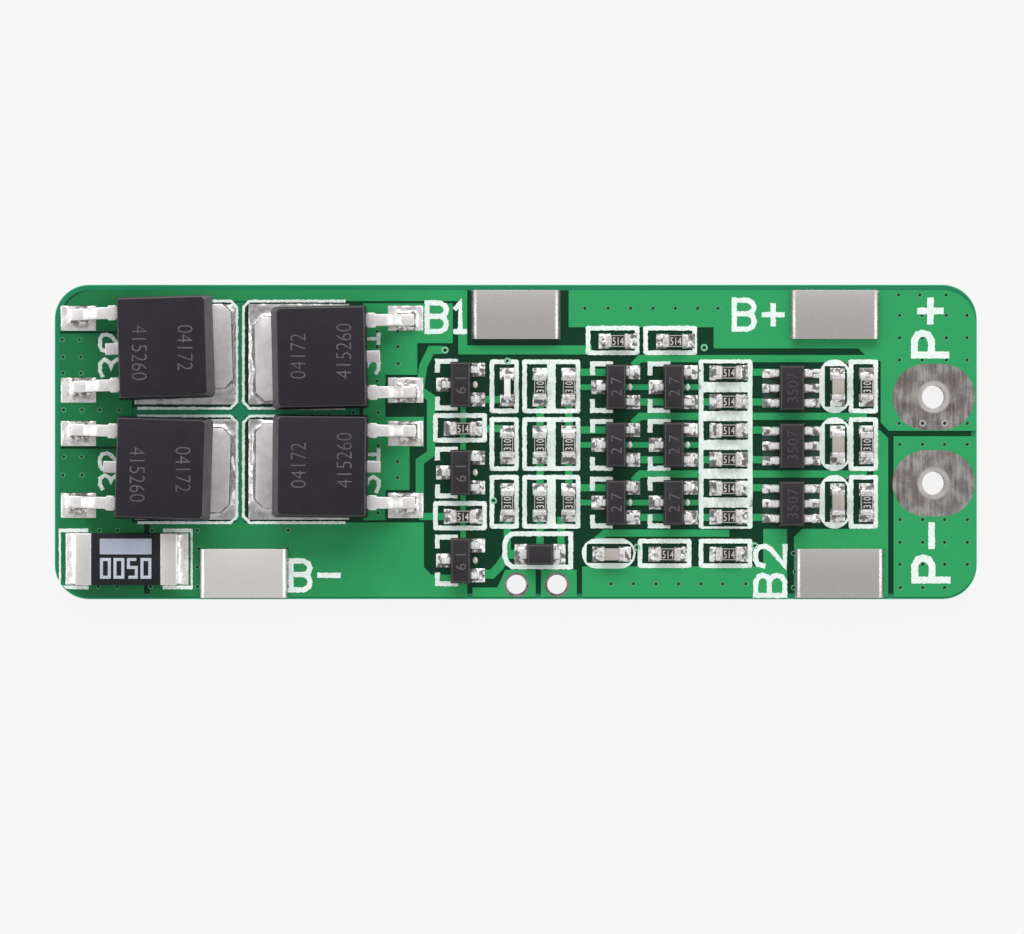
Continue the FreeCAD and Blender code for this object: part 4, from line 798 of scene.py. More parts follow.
@dataclass
class Board:
    """The bare board: laminate, copper, lacquer, plated holes and the many small vias."""

    nodes: Nodes
    via_hole: float = 0.11 * MM
    via_rim: float = 0.17 * MM
    via_rise: float = 0.01 * MM
    ring_rim: float = 0.24 * MM
    pad_vias: tuple[Point, ...] = ((25.98, 1.22), (27.4, 1.22))
    pad_rise: float = 0.025 * MM
    # How far each via's rim, a painted highlight, is set to the lower right of its hole
    rim_highlight_shift: float = 0.03 * MM
    shoulders: Point = (0.9, 1.1)
    dish_size: float = 1.05
    dish_height: float = 0.95
    dish_inset: float = 0.4
    dish_depth: float = 0.05

    def build(self) -> None:
        """Dresses the layers and adds the vias on the upper side."""
        finishes = {"board_core": Laminate(), "copper_top": COPPER, "copper_bottom": COPPER,
                    "solder_mask_top": LACQUER_TOP, "solder_mask_bottom": LACQUER_BOTTOM,
                    "sensor_hole_eyelets": RING}
        for node in ("terminal_p_plus", "terminal_p_minus"):
            low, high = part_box(node)
            middle = (low + high) / 2
            finishes[node] = TinnedPad(node + "_tin", (middle.x, middle.y))
        for node, finish in finishes.items():
            dress(self.nodes, node, finish)
        self.vias()

    def vias(self) -> None:
        """Builds the rims of the vias, pale as a painted highlight, and dark discs of painted shade where
        their holes are.
        """
        small = [(x, y) for y, row in VIA_ROWS for x in row]
        holes = bmesh.new()
        for piece, places, rim, rise, finish, slot in (
                ("via_rims", small, self.via_rim, self.via_rise, VIA_RIM_HIGHLIGHT, Slot.MASK),
                ("ring_via_rims", RING_VIAS, self.ring_rim, self.pad_rise, VIA_RING_HIGHLIGHT, Slot.MASK),
                ("pad_via_rims", self.pad_vias, self.ring_rim, self.pad_rise, LEAD, Slot.TIN)):
            rims = bmesh.new()
            for x, y in places:
                self.via(rims, holes, x * MM, y * MM, rim, rise)
            finished(piece, rims, finish)
        finished("via_holes", holes, VIA_HOLE_SHADE)

    def via(self, rims: Mesh, holes: Mesh, x: float, y: float, rim: float,
            rise: float) -> None:
        """Adds one via: a low rim with rounded shoulders, pale and set to the lower right as a painted
        highlight, and a dark dish inside it, painted shade where the hole is.

        Args:
            rims: The mesh that takes the rim.
            holes: The mesh that takes the dish.
            x: Its place along the board.
            y: Its place across it.
            rim: The rim's outer radius.
            rise: The rim's height.
        """
        top = MASK_TOP + rise
        hole = self.via_hole
        outer, inner = rim * self.shoulders[0], hole * self.shoulders[1]
        profile = [(rim, BARE_TOP), (outer, top), (inner, top), (hole, BARE_TOP)]
        # The rim is set a little to the lower right of the hole, so that its painted highlight shows on that
        # side.
        across, down = x + self.rim_highlight_shift, y - self.rim_highlight_shift
        verts = [rims.verts.new((across + radius, down, z)) for radius, z in profile]
        edges = [rims.edges.new(pair) for pair in zip(verts, verts[1:])]
        bmesh.ops.spin(rims, geom=verts + edges, cent=(across, down, 0), axis=(0, 0, 1), angle=math.tau,
                       steps=16, use_merge=True)
        # The dark dish is painted shade standing in for the hole.
        level = Matrix.Translation((x, y, MASK_TOP + rise * self.dish_height))
        dish = bmesh.ops.create_circle(holes, cap_ends=True, segments=12, radius=hole * self.dish_size,
                                       matrix=level)
        face = dish["verts"][0].link_faces[0]
        bmesh.ops.inset_individual(holes, faces=[face], thickness=hole * self.dish_inset,
                                   depth=-rise * self.dish_depth)


@dataclass(frozen=True)
class Stroke:
    """One line of a sign, in shares of the sign's width and height."""

    points: tuple[Point, ...]
    closed: bool = False


GLYPHS = {
    "B": (Stroke(((0, 0), (0, 1), (0.66, 1), (0.92, 0.9), (1, 0.76), (0.92, 0.61), (0.72, 0.53), (0.93, 0.43),
                  (1, 0.27), (0.93, 0.1), (0.66, 0)), True), Stroke(((0, 0.53), (0.72, 0.53)))),
    "P": (Stroke(((0, 0.47), (0, 1), (0.66, 1), (0.93, 0.9), (1, 0.74), (0.93, 0.58), (0.66, 0.47)), True),
          Stroke(((0, 0), (0, 0.47)))),
    "1": (Stroke(((0.05, 0.82), (0.5, 1), (0.5, 0))), Stroke(((0, 0), (1, 0)))),
    "2": (Stroke(((0, 0.74), (0.07, 0.92), (0.3, 1), (0.72, 1), (0.95, 0.9), (1, 0.68), (0.85, 0.48), (0, 0),
                  (1, 0))),),
    "3": (Stroke(((0, 0.9), (0.3, 1), (0.75, 1), (1, 0.8), (0.8, 0.58), (0.5, 0.52), (0.8, 0.46), (1, 0.24),
                  (0.75, 0), (0.3, 0), (0, 0.1))),),
    "0": (Stroke(((0, 0), (0, 1), (1, 1), (1, 0)), True),),
    "5": (Stroke(((1, 1), (0, 1), (0, 0.55), (1, 0.55), (1, 0), (0, 0))),),
    "+": (Stroke(((0, 0.5), (1, 0.5))), Stroke(((0.5, 0), (0.5, 1)))),
    "-": (Stroke(((0, 0.5), (1, 0.5))),),
}


def ribbon(mesh: Mesh, points: list[Point], width: float, low: float, high: float,
           closed: bool = False, step: float = 0.0) -> None:
    """Adds a flat band along a line, with mitred corners.

    Args:
        mesh: The mesh that takes it.
        points: The line's points.
        width: The band's width.
        low: The level of its underside.
        high: The level of its upper face.
        closed: Whether the line runs back to its start.
        step: The longest side of a facet along the line, or 0 for none between two points.
    """
    corners = [Vector(point) for point in points]
    count = len(corners)
    last = count if closed else count - 1
    runs = [(corners[(k + 1) % count] - corners[k]).normalized() for k in range(last)]
    left, right = [], []
    for k, corner in enumerate(corners):
        before = runs[k - 1] if closed or k > 0 else runs[0]
        after = runs[k % len(runs)] if closed or k < count - 1 else runs[-1]
        across = Vector((-before.y - after.y, before.x + after.x)).normalized()
        reach = width / 2 / max(MITRE_LEAST, across.dot(Vector((-before.y, before.x))))
        left.append(corner + across * reach)
        right.append(corner - across * reach)
    sides = []
    for line in (left, right):
        if step:
            line = denser(line, step, left, closed)
        verts = [mesh.verts.new((point.x, point.y, high)) for point in line]
        ends = verts[1:] + (verts[:1] if closed else [])
        sides += [mesh.edges.new(pair) for pair in zip(verts, ends)]
    top = bmesh.ops.bridge_loops(mesh, edges=sides)["faces"]
    bmesh.ops.recalc_face_normals(mesh, faces=top)
    if top[0].normal.z < 0:
        bmesh.ops.reverse_faces(mesh, faces=top)
    wall = bmesh.ops.extrude_face_region(mesh, geom=top, use_keep_orig=True)["geom"]
    new = [item for item in wall if isinstance(item, bmesh.types.BMFace)]
    for vert in {vert for face in top for vert in face.verts}:
        vert.co.z = low
    bmesh.ops.recalc_face_normals(mesh, faces=list({face for item in new for vert in item.verts
                                                    for face in vert.link_faces} | set(top)))


def denser(line: list[Vector], step: float, guide: list[Vector], closed: bool) -> list[Vector]:
    """Adds points to a line, as many to each run as another line's run of that number needs."""
    out = []
    last = len(line) if closed else len(line) - 1
    for k in range(last):
        a, b = line[k], line[(k + 1) % len(line)]
        parts = max(1, round((guide[(k + 1) % len(guide)] - guide[k]).length / step))
        out += [a.lerp(b, share / parts) for share in range(parts)]
    return out if closed else out + [line[-1]]


def lengthened(line: list[Point], reach: float) -> list[Point]:
    """Returns an open line whose two ends are drawn out.

    Args:
        line: The line's points.
        reach: How far each end goes on, in metres.

    Returns:
        The longer line.
    """
    first, second, before, last = (Vector(point) for point in (line[0], line[1], line[-2], line[-1]))
    start = first + (first - second).normalized() * reach
    end = last + (last - before).normalized() * reach
    return [(start.x, start.y), *line[1:-1], (end.x, end.y)]


@dataclass(frozen=True)
class Label:
    """One printed sign: the sign and the corners of its outline, in millimetres, and whether it is turned."""

    sign: str
    left: float
    bottom: float
    right: float
    top: float
    turned: bool = False
    stroke: float = 0.33


LABELS = (
    Label("B", -5.83, 6.9, -4.27, 9.06), Label("1", -4.02, 6.9, -3.09, 9.06),
    Label("B", 13.81, 7.05, 15.41, 9.23), Label("+", 15.71, 7.36, 17.2, 8.91),
    Label("+", 25.64, 7.48, 27.38, 9.27, True, 0.42), Label("P", 25.27, 5.34, 27.76, 7.17, True, 0.44),
    Label("-", 26.33, -6.87, 26.84, -5.1, True, 0.42), Label("P", 25.29, -9.05, 27.82, -7.19, True, 0.44),
    Label("B", 15.18, -9.97, 17.37, -8.36, True), Label("2", 15.18, -8.08, 17.37, -6.5, True),
    Label("B", -14.54, -9.62, -12.98, -7.44), Label("-", -12.71, -8.71, -11.17, -8.34),
)

# The small figures beside the power transistors: left and right end, then each figure's sign, bottom and top
SMALL_LABELS = (
    (-26.7, -25.0, (("2", 5.7, 7.0), ("3", 4.1, 5.4), ("2", -1.9, -0.6), ("3", -3.1, -2.0))),
    (-10.3, -8.65, (("1", 6.2, 7.0), ("3", 4.3, 5.4), ("1", -1.2, -0.4), ("3", -3.3, -2.1))),
)
SMALL_STROKE = 0.24


@dataclass
class Ink:
    """The white print: frames, outlines round the power parts, corner marks and the terminals' signs."""

    nodes: Nodes
    fine: float = 0.17 * MM
    jitter: float = 0.045 * MM
    jitter_mm: float = 0.14
    step: float = 0.07 * MM
    lap: float = 0.002 * MM
    mark_reach: Point = (1.48 * MM, 1.49 * MM)
    mark_arm: Point = (1.3 * MM, 0.72 * MM)
    mark_stroke: float = 0.31 * MM
    shift: Point = (-0.2 * MM, 0.05 * MM)
    obround_half: Point = (1.715 * MM, 0.93 * MM)
    thin: float = 0.13 * MM
    end_fill: float = 0.33 * MM
    side_fill: float = 0.31 * MM
    corner_cut: float = 0.25 * MM
    corner_closed: float = 0.6
    end_reach: float = 0.85
    lone_width: float = 6.0 * MM
    diode_stroke: float = 0.31 * MM
    diode_frame: tuple[Point, ...] = (
        (3.51, -5.87), (-0.24, -5.87), (-0.56, -6.12), (-0.7, -6.52), (-0.7, -7.32), (-0.56, -7.72),
        (-0.24, -7.98), (3.51, -7.98))
    touch: float = 0.09 * MM
    slack: float = 0.02 * MM
    slant: float = 0.05
    arc_points: int = 64
    halvings: int = 5
    shunt_reach: Point = (4.6 * MM, 2.4 * MM)
    shunt_shift: float = -0.08 * MM
    shunt_press: float = 0.91
    joints: tuple[Point, ...] = tuple((2.28, y) for y in (5.13, 1.98, 1.44, -1.71, -2.25, -5.4))
    joint_reach: float = 0.14
    joint_stroke: float = 0.5 * MM
    power_cut: float = 0.4 * MM
    power_axis: float = -17.62 * MM
    power_half: float = 0.21 * MM
    power_ends: Point = (-24.2 * MM, -10.9 * MM)
    power_rows: tuple[Point, ...] = ((9.01 * MM, 2.15 * MM), (1.66 * MM, -5.16 * MM))

    def build(self) -> None:
        """Builds the printed frames again with a ragged edge, and the rest of the print."""
        frames = copy_of(self.nodes, "silkscreen_top")
        self.clear_lone(frames)
        self.square_up(frames)
        self.draw_in(frames)
        for _ in range(self.halvings):
            long_edges = [edge for edge in frames.edges if edge.calc_length() > 2 * self.step]
            bmesh.ops.subdivide_edges(frames, edges=long_edges, cuts=1)
        for middle, upright in self.capacitors():
            self.round_off(frames, *self.obround_box(middle, upright))
        self.ragged(frames)
        bmesh.ops.triangulate(frames, faces=frames.faces)
        finished("printed_frames", frames, INK, ("silkscreen_top",))
        strokes = bmesh.new()
        for middle, upright in self.capacitors():
            self.obround(strokes, middle, upright)
        small = [Label(sign, left, bottom, right, top, True, SMALL_STROKE)
                 for left, right, column in SMALL_LABELS for sign, bottom, top in column]
        for label in (*LABELS, *small):
            self.sign(strokes, label)
        for name in sorted(self.nodes):
            if name.startswith(("gate_transistor", "balance_transistor")) and name.endswith("_body"):
                self.corner_marks(strokes, name)
        self.power_outlines(strokes)
        self.draw(strokes, [(x * MM, y * MM) for x, y in self.diode_frame], self.diode_stroke, closed=True)
        for x, y in self.joints:
            line = [(x * MM, end * MM) for end in (y - self.joint_reach, y + self.joint_reach)]
            self.draw(strokes, line, self.joint_stroke, lap=2)
        self.ragged(strokes)
        finished("printed_signs", strokes, INK)

    def capacitors(self) -> list[tuple[Vector, bool]]:
        """Returns the middle of each chip capacitor, and whether it stands upright."""
        mesh = copy_of(self.nodes, "capacitor_bodies")
        tops = [top_of(group) for group in islands(mesh)]
        mesh.free()
        return [(top.middle, abs(top.along.y) > 0.5) for top in tops]

    def obround_box(self, middle: Vector, upright: bool) -> tuple[Vector, Vector]:
        """Returns the corners of a capacitor's printed outline."""
        half = Vector(self.obround_half[::-1] if upright else self.obround_half)
        centre = Vector((middle.x, middle.y)) + Vector(self.shift)
        return centre - half, centre + half

    def round_off(self, mesh: Mesh, low: Vector, high: Vector) -> None:
        """Pulls the slanted corners of a capacitor's outline in to a round end."""
        half = (high - low) / 2
        centre = (low + high) / 2
        radius = min(half)
        for vert in mesh.verts:
            away = vert.co.xy - centre
            across = -half.x - self.slack < away.x < half.x - self.touch
            if not across or abs(away.y) >= half.y + self.slack:
                continue
            corner = Vector((math.copysign(half.x - radius, away.x), math.copysign(half.y - radius, away.y)))
            out = away - corner
            if out.x * away.x > 0 and out.y * away.y > 0 and out.length > radius:
                place = centre + corner + out.normalized() * radius
                vert.co.x, vert.co.y = place

    def obround(self, mesh: Mesh, middle: Vector, upright: bool) -> None:
        """Adds a capacitor's outline: thin on its right, and filled up to a straight line elsewhere."""
        low, high = self.obround_box(middle, upright)
        centre = (low + high) / 2
        half = (high - low) / 2
        radius = min(half)
        reach = Vector((half.x - radius, half.y - radius))
        line = []
        for k in range(self.arc_points):
            angle = math.tau * (k + 0.5) / self.arc_points
            turn = Vector((math.cos(angle), math.sin(angle)))
            corner = Vector((math.copysign(reach.x, turn.x), math.copysign(reach.y, turn.y)))
            line.append(centre + corner + turn * radius)
        inner = [centre + (point - centre) * (1 - self.thin / 2 / max(half)) for point in line]
        ribbon(mesh, inner, self.thin, BARE_TOP, INK_TOP - self.lap, True)
        for lap, way in enumerate((Vector((0, 1)), Vector((0, -1)), Vector((-1, 0)))):
            chord = half.y - self.end_fill if way.x == 0 else half.x - self.side_fill
            plate = [point for point in line if (point - centre).dot(way) > chord]
            start = next(k for k, point in enumerate(line) if point in plate and line[k - 1] not in plate)
            ordered = [line[(start + k) % len(line)] for k in range(len(plate))]
            verts = [mesh.verts.new((*point, INK_TOP - self.lap * (2 + lap))) for point in ordered]
            edges = [mesh.edges.new(pair) for pair in zip(verts, verts[1:] + verts[:1])]
            face = bmesh.ops.contextual_create(mesh, geom=edges)["faces"][0]
            walls = bmesh.ops.extrude_face_region(mesh, geom=[face], use_keep_orig=True)["geom"]
            for vert in face.verts:
                vert.co.z = BARE_TOP
            raised = [item for item in walls if isinstance(item, bmesh.types.BMVert)]
            near = {other for vert in raised for other in vert.link_faces}
            bmesh.ops.recalc_face_normals(mesh, faces=list(near | {face}))

    def clear_lone(self, mesh: Mesh) -> None:
        """Takes out the frames of the diode and of the lying capacitor, which are drawn anew."""
        spots = [sum(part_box("diode_body"), Vector()) / 2]
        spots += [middle for middle, upright in self.capacitors() if not upright]
        for group in islands(mesh):
            low, high = spread([vert.co for vert in group])
            if high.x - low.x < self.lone_width and any(
                    low.x < spot.x < high.x and low.y < spot.y < high.y for spot in spots):
                LOG.info("A lone frame of %d vertices is drawn anew.", len(group))
                bmesh.ops.delete(mesh, geom=group, context="VERTS")

    def draw_in(self, mesh: Mesh) -> None:
        """Brings the frame round the shunt closer to it."""
        low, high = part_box("shunt_element")
        centre = (low + high) / 2
        along, across = self.shunt_reach
        for vert in mesh.verts:
            if abs(vert.co.x - centre.x) < along and abs(vert.co.y - centre.y) < across:
                vert.co.x += self.shunt_shift
                vert.co.y = centre.y + (vert.co.y - centre.y) * self.shunt_press

    def square_up(self, mesh: Mesh) -> None:
        """Makes the slanted corners of the frames smaller."""
        moves = {}
        for face in mesh.faces:
            normal = face.normal
            longest = max(edge.calc_length() for edge in face.edges)
            if abs(normal.z) > self.slant or abs(abs(normal.x) - abs(normal.y)) > self.slant:
                continue
            if abs(longest - self.corner_cut * math.sqrt(2)) > self.slack:
                continue
            own = list(face.edges)
            for vert, edge in ((vert, edge) for vert in face.verts for edge in vert.link_edges):
                way = vert.co - edge.other_vert(vert).co
                if edge not in own and abs(way.z) < CLOSE / 10 and min(abs(way.x), abs(way.y)) < CLOSE:
                    moves[vert] = way.normalized() * self.corner_cut * self.corner_closed
        for vert, move in moves.items():
            vert.co += move

    def sign(self, mesh: Mesh, label: Label) -> None:
        """Adds one sign."""
        inset = label.stroke * MM / 2
        left, right = label.left * MM + inset, label.right * MM - inset
        bottom, top = label.bottom * MM + inset, label.top * MM - inset
        if right < left:
            left = right = (left + right) / 2
        if top < bottom:
            bottom = top = (bottom + top) / 2
        for number, stroke in enumerate(GLYPHS[label.sign]):
            points = [(1 - v, u) if label.turned else (u, v) for u, v in stroke.points]
            line = [(left + u * (right - left), bottom + v * (top - bottom)) for u, v in points]
            if not stroke.closed:
                line = lengthened(line, inset * self.end_reach)
            self.draw(mesh, line, label.stroke * MM, stroke.closed, number)

    def draw(self, mesh: Mesh, line: list[Point], width: float, closed: bool = False,
             lap: int = 0) -> None:
        """Adds a stroke of ink. One that crosses another lies a little lower."""
        ribbon(mesh, line, width, BARE_TOP, INK_TOP - self.lap * (1 + lap), closed, self.step)

    def corner_marks(self, mesh: Mesh, node: str) -> None:
        """Adds the two corner marks at the one-legged side of a small transistor."""
        low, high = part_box(node)
        x, y = (low.x + high.x) / 2, (low.y + high.y) / 2
        for side in (-1, 1):
            corner = (x - self.mark_reach[0], y + side * self.mark_reach[1])
            self.draw(mesh, [(corner[0] + self.mark_arm[0], corner[1]), corner,
                             (corner[0], corner[1] - side * self.mark_arm[1])], self.mark_stroke)

    def power_outlines(self, mesh: Mesh) -> None:
        """Adds the thin outlines round the power transistors."""
        cut = self.power_cut
        for top, bottom in self.power_rows:
            for side, end in zip((-1, 1), self.power_ends):
                x = self.power_axis + side * self.power_half
                line = [(end, top), (x + side * cut, top), (x, top - cut), (x, bottom + cut),
                        (x + side * cut, bottom), (end, bottom)]
                self.draw(mesh, line, self.fine)

    def ragged(self, mesh: Mesh) -> None:
        """Moves each vertex a little sideways, so that the print's edge is uneven."""
        for vert in mesh.verts:
            place = Vector((vert.co.x, vert.co.y, 0)) / (self.jitter_mm * MM)
            push = noise.noise_vector(place)
            vert.co.x += push.x * self.jitter
            vert.co.y += push.y * self.jitter


@dataclass(frozen=True)
class Top:
    """The upper face of a part: its middle, the way its long side runs and its two sides."""

    middle: Vector
    along: Vector
    length: float
    width: float


def top_of(verts: list[bmesh.types.BMVert]) -> Top:
    """Measures the upper face of a shell.

    Args:
        verts: The shell's vertices.

    Returns:
        The face, seen from above.
    """
    level = max(vert.co.z for vert in verts)
    hull = hull_of([vert.co.xy for vert in verts if level - vert.co.z < 2 * CLOSE])
    sides = [(b - a) for a, b in zip(hull, hull[1:] + hull[:1])]
    along = max(sides, key=lambda side: side.length).normalized()
    if abs(along.y) > abs(along.x) and along.y < 0 or abs(along.x) >= abs(along.y) and along.x < 0:
        along = -along
    across = Vector((-along.y, along.x))
    us = [point.dot(along) for point in hull]
    vs = [point.dot(across) for point in hull]
    centre = along * (max(us) + min(us)) / 2 + across * (max(vs) + min(vs)) / 2
    return Top(Vector((*centre, level)), along, max(us) - min(us), max(vs) - min(vs))


def figures(mesh: Mesh, text: str, height: float, place: Vector, angle: float,
            rise: float = 0.006 * MM, stretch: float = 1.0, weight: float = 0.0) -> None:
    """Adds plain numbers, centred on a place.

    Args:
        mesh: The mesh that takes them.
        text: The numbers.
        height: Their height.
        place: Their middle.
        angle: The way they read, in radians.
        rise: How far they stand up.
        stretch: How wide they are, against the plain shape.
        weight: How much each stroke is fattened.
    """
    curve = bpy.data.curves.new("figures", "FONT")
    curve.body = text
    curve.size = height / FIGURE_SHARE
    curve.align_x = "CENTER"
    curve.extrude = rise / 2
    curve.offset = weight
    curve.resolution_u = 3
    holder = bpy.data.objects.new("figures", curve)
    flat = bpy.data.meshes.new_from_object(holder)
    middle = Matrix.Translation((0, -height / 2, 0))
    size = Matrix.Diagonal((stretch, 1, 1, 1))
    flat.transform(Matrix.Translation(place) @ Matrix.Rotation(angle, 4, "Z") @ size @ middle)
    mesh.from_mesh(flat)
    bpy.data.objects.remove(holder)
    bpy.data.meshes.remove(flat)
    bpy.data.curves.remove(curve)


@dataclass
class PowerStage:
    """The four power transistors: moulded bodies, metal tabs, legs and etched numbers."""

    nodes: Nodes
    round_body: float = 0.07 * MM
    round_metal: float = 0.05 * MM
    figure: float = 1.04 * MM
    thinner: float = -0.022 * MM
    wide: float = 0.82
    lines: tuple[tuple[float, float, str], ...] = ((-1.48, 0.05, "04172"), (1.42, 0.38, "415260"))

    def build(self) -> None:
        """Builds the four."""
        etched = bmesh.new()
        for number in range(1, 5):
            name = f"power_transistor_{number}"
            body = copy_of(self.nodes, name + "_body")
            upper = top_of(list(body.verts))
            legs_low, legs_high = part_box(name + "_legs")
            facing = math.copysign(1, (legs_low.x + legs_high.x) / 2 - upper.middle.x)
            for offset, along, text in self.lines:
                place = upper.middle + Vector((offset, along, 0)) * MM * facing
                figures(etched, text, self.figure, place, facing * math.pi / 2, weight=self.thinner,
                        stretch=self.wide)
            # The sloping faces get a lighter finish: a painted highlight.
            finished(name + "_case", paint_slope_highlight(soften(body, self.round_body, 3)), MOULD,
                     (name + "_body",), slope_highlight=MOULD_SLOPE_HIGHLIGHT)
            tab = soften(copy_of(self.nodes, name + "_tab"), self.round_metal)
            finished(name + "_heat_tab", tab, LEAD, (name + "_tab",))
            legs = soften(copy_of(self.nodes, name + "_legs"), self.round_metal)
            finished(name + "_leads", legs, LEG, (name + "_legs",))
        finished("power_transistor_numbers", etched, ETCH)


@dataclass
class Shunt:
    """The current shunt: a black coated strip with plated ends, a pale panel and plain numbers."""

    nodes: Nodes
    round_edge: float = 0.07 * MM
    panel: tuple[float, float, float] = (3.3 * MM, 1.0 * MM, 0.81 * MM)
    figure: Point = (0.5 * MM, 1.13 * MM)
    pitch: float = 0.86 * MM
    stroke: float = 0.19 * MM
    drop: float = 0.58 * MM
    panel_height: float = 0.012 * MM
    panel_corner: float = 0.04 * MM
    print_levels: Point = (-0.004 * MM, 0.006 * MM)
    number: str = "0050"

    def build(self) -> None:
        """Builds the strip, its ends and its print."""
        coat = soften(copy_of(self.nodes, "shunt_element"), self.round_edge, 3)
        finished("shunt_strip", coat, SHUNT_COAT, ("shunt_element",))
        ends = soften(copy_of(self.nodes, "shunt_ends"), self.round_edge, 3)
        finished("shunt_caps", ends, NICKEL_PALE, ("shunt_ends",))
        low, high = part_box("shunt_element")
        middle = Vector(((low.x + high.x) / 2, (low.y + high.y) / 2, high.z))
        mesh = bmesh.new()
        length, width, rise = self.panel
        place = Matrix.Translation(middle + Vector((0, rise, 0)))
        size = Matrix.Diagonal((length, width, self.panel_height, 1))
        bmesh.ops.create_cube(mesh, size=1, matrix=place @ size)
        upright = [edge for edge in mesh.edges if abs(edge.verts[0].co.z - edge.verts[1].co.z) > CLOSE]
        rounded(mesh, upright, self.panel_corner, 3)
        finished("shunt_panel", mesh, SHUNT_PANEL)
        mesh = bmesh.new()
        width, height = self.figure
        levels = [middle.z + level for level in self.print_levels]
        for k, sign in enumerate(self.number):
            left = middle.x + (k - (len(self.number) - 1) / 2) * self.pitch - width / 2
            bottom = middle.y - self.drop - height / 2
            for stroke in GLYPHS[sign]:
                line = [(left + u * width, bottom + v * height) for u, v in stroke.points]
                ribbon(mesh, line, self.stroke, *levels, stroke.closed)
        finished("shunt_numbers", mesh, SHUNT_PRINT)


@dataclass
class CellTabs:
    """The four nickel plates that the cells are joined to."""

    nodes: Nodes
    round_edge: float = 0.06 * MM
    roll: float = 0.26 * MM
    soft_turn: float = 50.0

    def build(self) -> None:
        """Builds each plate with soft edges and its two ends rolled over."""
        for name in ("b_minus", "b1", "b_plus", "b2"):
            plate = copy_of(self.nodes, f"cell_tab_{name}")
            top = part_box(f"cell_tab_{name}")[1].z
            ends = [edge for edge in plate.edges if min(vert.co.z for vert in edge.verts) > top - CLOSE
                    and abs(edge.verts[0].co.x - edge.verts[1].co.x) < CLOSE]
            rounded(plate, ends, self.roll, 4)
            plate = soften(plate, self.round_edge, 3, self.soft_turn)
            finish = NICKEL_PALE if name == "b_minus" else NICKEL
            finished(f"nickel_tab_{name}", plate, finish, (f"cell_tab_{name}",))


@dataclass
class SmallPackages:
    """The small transistors, the protection chips and the diode."""

    nodes: Nodes
    round_body: float = 0.05 * MM
    round_leg: float = 0.02 * MM
    figure: float = 0.72 * MM
    thinner: float = -0.01 * MM
    dot_reach: float = 0.92 * MM
    dot: Point = (0.2 * MM, 0.13 * MM)
    dot_rise: float = 0.05 * MM
    dot_stretch: float = 1.25
    dot_round: float = 0.02 * MM
    texts: tuple[tuple[str, str], ...] = (("gate", "6 1"), ("balance", "2 7"))
    chip_text: str = "3507"

    def build(self) -> None:
        """Builds every package and its numbers."""
        etched = bmesh.new()
        faint = bmesh.new()
        dots = bmesh.new()
        texts = dict(self.texts)
        bodies = [name.removesuffix("_body") for name in sorted(self.nodes)
                  if name.endswith("_body") and not name.startswith("power")]
        for name in bodies:
            body = copy_of(self.nodes, name + "_body")
            upper = top_of(list(body.verts))
            legs = name + ("_leads" if name == "diode" else "_legs")
            kind = name.split("_")[0]
            if kind in texts:
                figures(etched, texts[kind], self.figure, upper.middle, math.pi / 2, weight=self.thinner)
                middle = Vector((upper.middle.x + self.dot_reach, upper.middle.y, (BARE_TOP + SEAT) / 2))
                place = Matrix.Translation(middle) @ Matrix.Diagonal((1, self.dot_stretch, 1, 1))
                depth = SEAT + self.dot_rise - BARE_TOP
                bmesh.ops.create_cone(dots, cap_ends=True, segments=14, radius1=self.dot[0],
                                      radius2=self.dot[1], depth=depth, matrix=place)
            elif kind == "protection":
                figures(faint, self.chip_text, self.figure, upper.middle, math.pi / 2, weight=self.thinner)
            # The sloping faces get a lighter finish: a painted highlight.
            finished(name + "_case", paint_slope_highlight(soften(body, self.round_body)), MOULD_SMALL,
                     (name + "_body",), slope_highlight=MOULD_SMALL_SLOPE_HIGHLIGHT)
            metal = soften(copy_of(self.nodes, legs), self.round_leg)
            finished(name + "_feet", metal, LEG, (legs,))
        finished("package_numbers", etched, ETCH)
        finished("chip_numbers", faint, ETCH_FAINT)
        finished("tin_dots", soften(dots, self.dot_round), LEG)


@dataclass
class ChipParts:
    """The chip resistors with their numbers, and the chip capacitors."""

    nodes: Nodes
    round_edge: float = 0.03 * MM
    figure: float = 0.5 * MM
    stretch: float = 0.72
    bolder: float = 0.004 * MM
    rise: float = 0.004 * MM
    outline: float = 0.035 * MM
    coat_height: float = 0.1 * MM
    round_coat: float = 0.009 * MM
    upright_text: str = "310"
    lying_text: str = "514"

    def build(self) -> None:
        """Builds the ceramic, the ends, the coats and the numbers."""
        for piece, node, finish, slot in (
                ("resistor_ceramics", "resistor_bodies", CERAMIC, Slot.CERAMIC),
                ("resistor_caps", "resistor_ends", CAP, Slot.LEAD),
                ("capacitor_ceramics", "capacitor_bodies", CAPACITOR, Slot.CAPACITOR),
                ("capacitor_caps", "capacitor_ends", CAP, Slot.LEAD)):
            finished(piece, soften(copy_of(self.nodes, node), self.round_edge), finish, (node,))
        coats = copy_of(self.nodes, "resistor_coats")
        numbers = bmesh.new()
        for group in islands(coats):
            upper = top_of(group)
            low, high = spread([vert.co for vert in group])
            if high.z - low.z > self.coat_height:
                continue
            upright = upper.along.y > 0.5
            text, angle = (self.upright_text, math.pi / 2) if upright else (self.lying_text, 0.0)
            figures(numbers, text, self.figure, upper.middle, angle, self.rise, self.stretch, self.bolder)
            along = upper.along * (upper.length / 2 - self.outline)
            across = Vector((-upper.along.y, upper.along.x)) * (upper.width / 2 - self.outline)
            corners = [upper.middle.xy + along * u + across * v
                       for u, v in ((-1, -1), (1, -1), (1, 1), (-1, 1))]
            level = upper.middle.z
            ribbon(numbers, corners, self.outline, level - self.rise / 2, level + self.rise / 2, True)
        finished("resistor_glazes", soften(coats, self.round_coat), GLAZE, ("resistor_coats",))
        finished("resistor_numbers", numbers, GLAZE_PRINT)


@dataclass(frozen=True)
class Foot:
    """The outline of something that stands in solder, and the kind of solder it always has, if any."""

    hull: list[Vector]
    kind: str


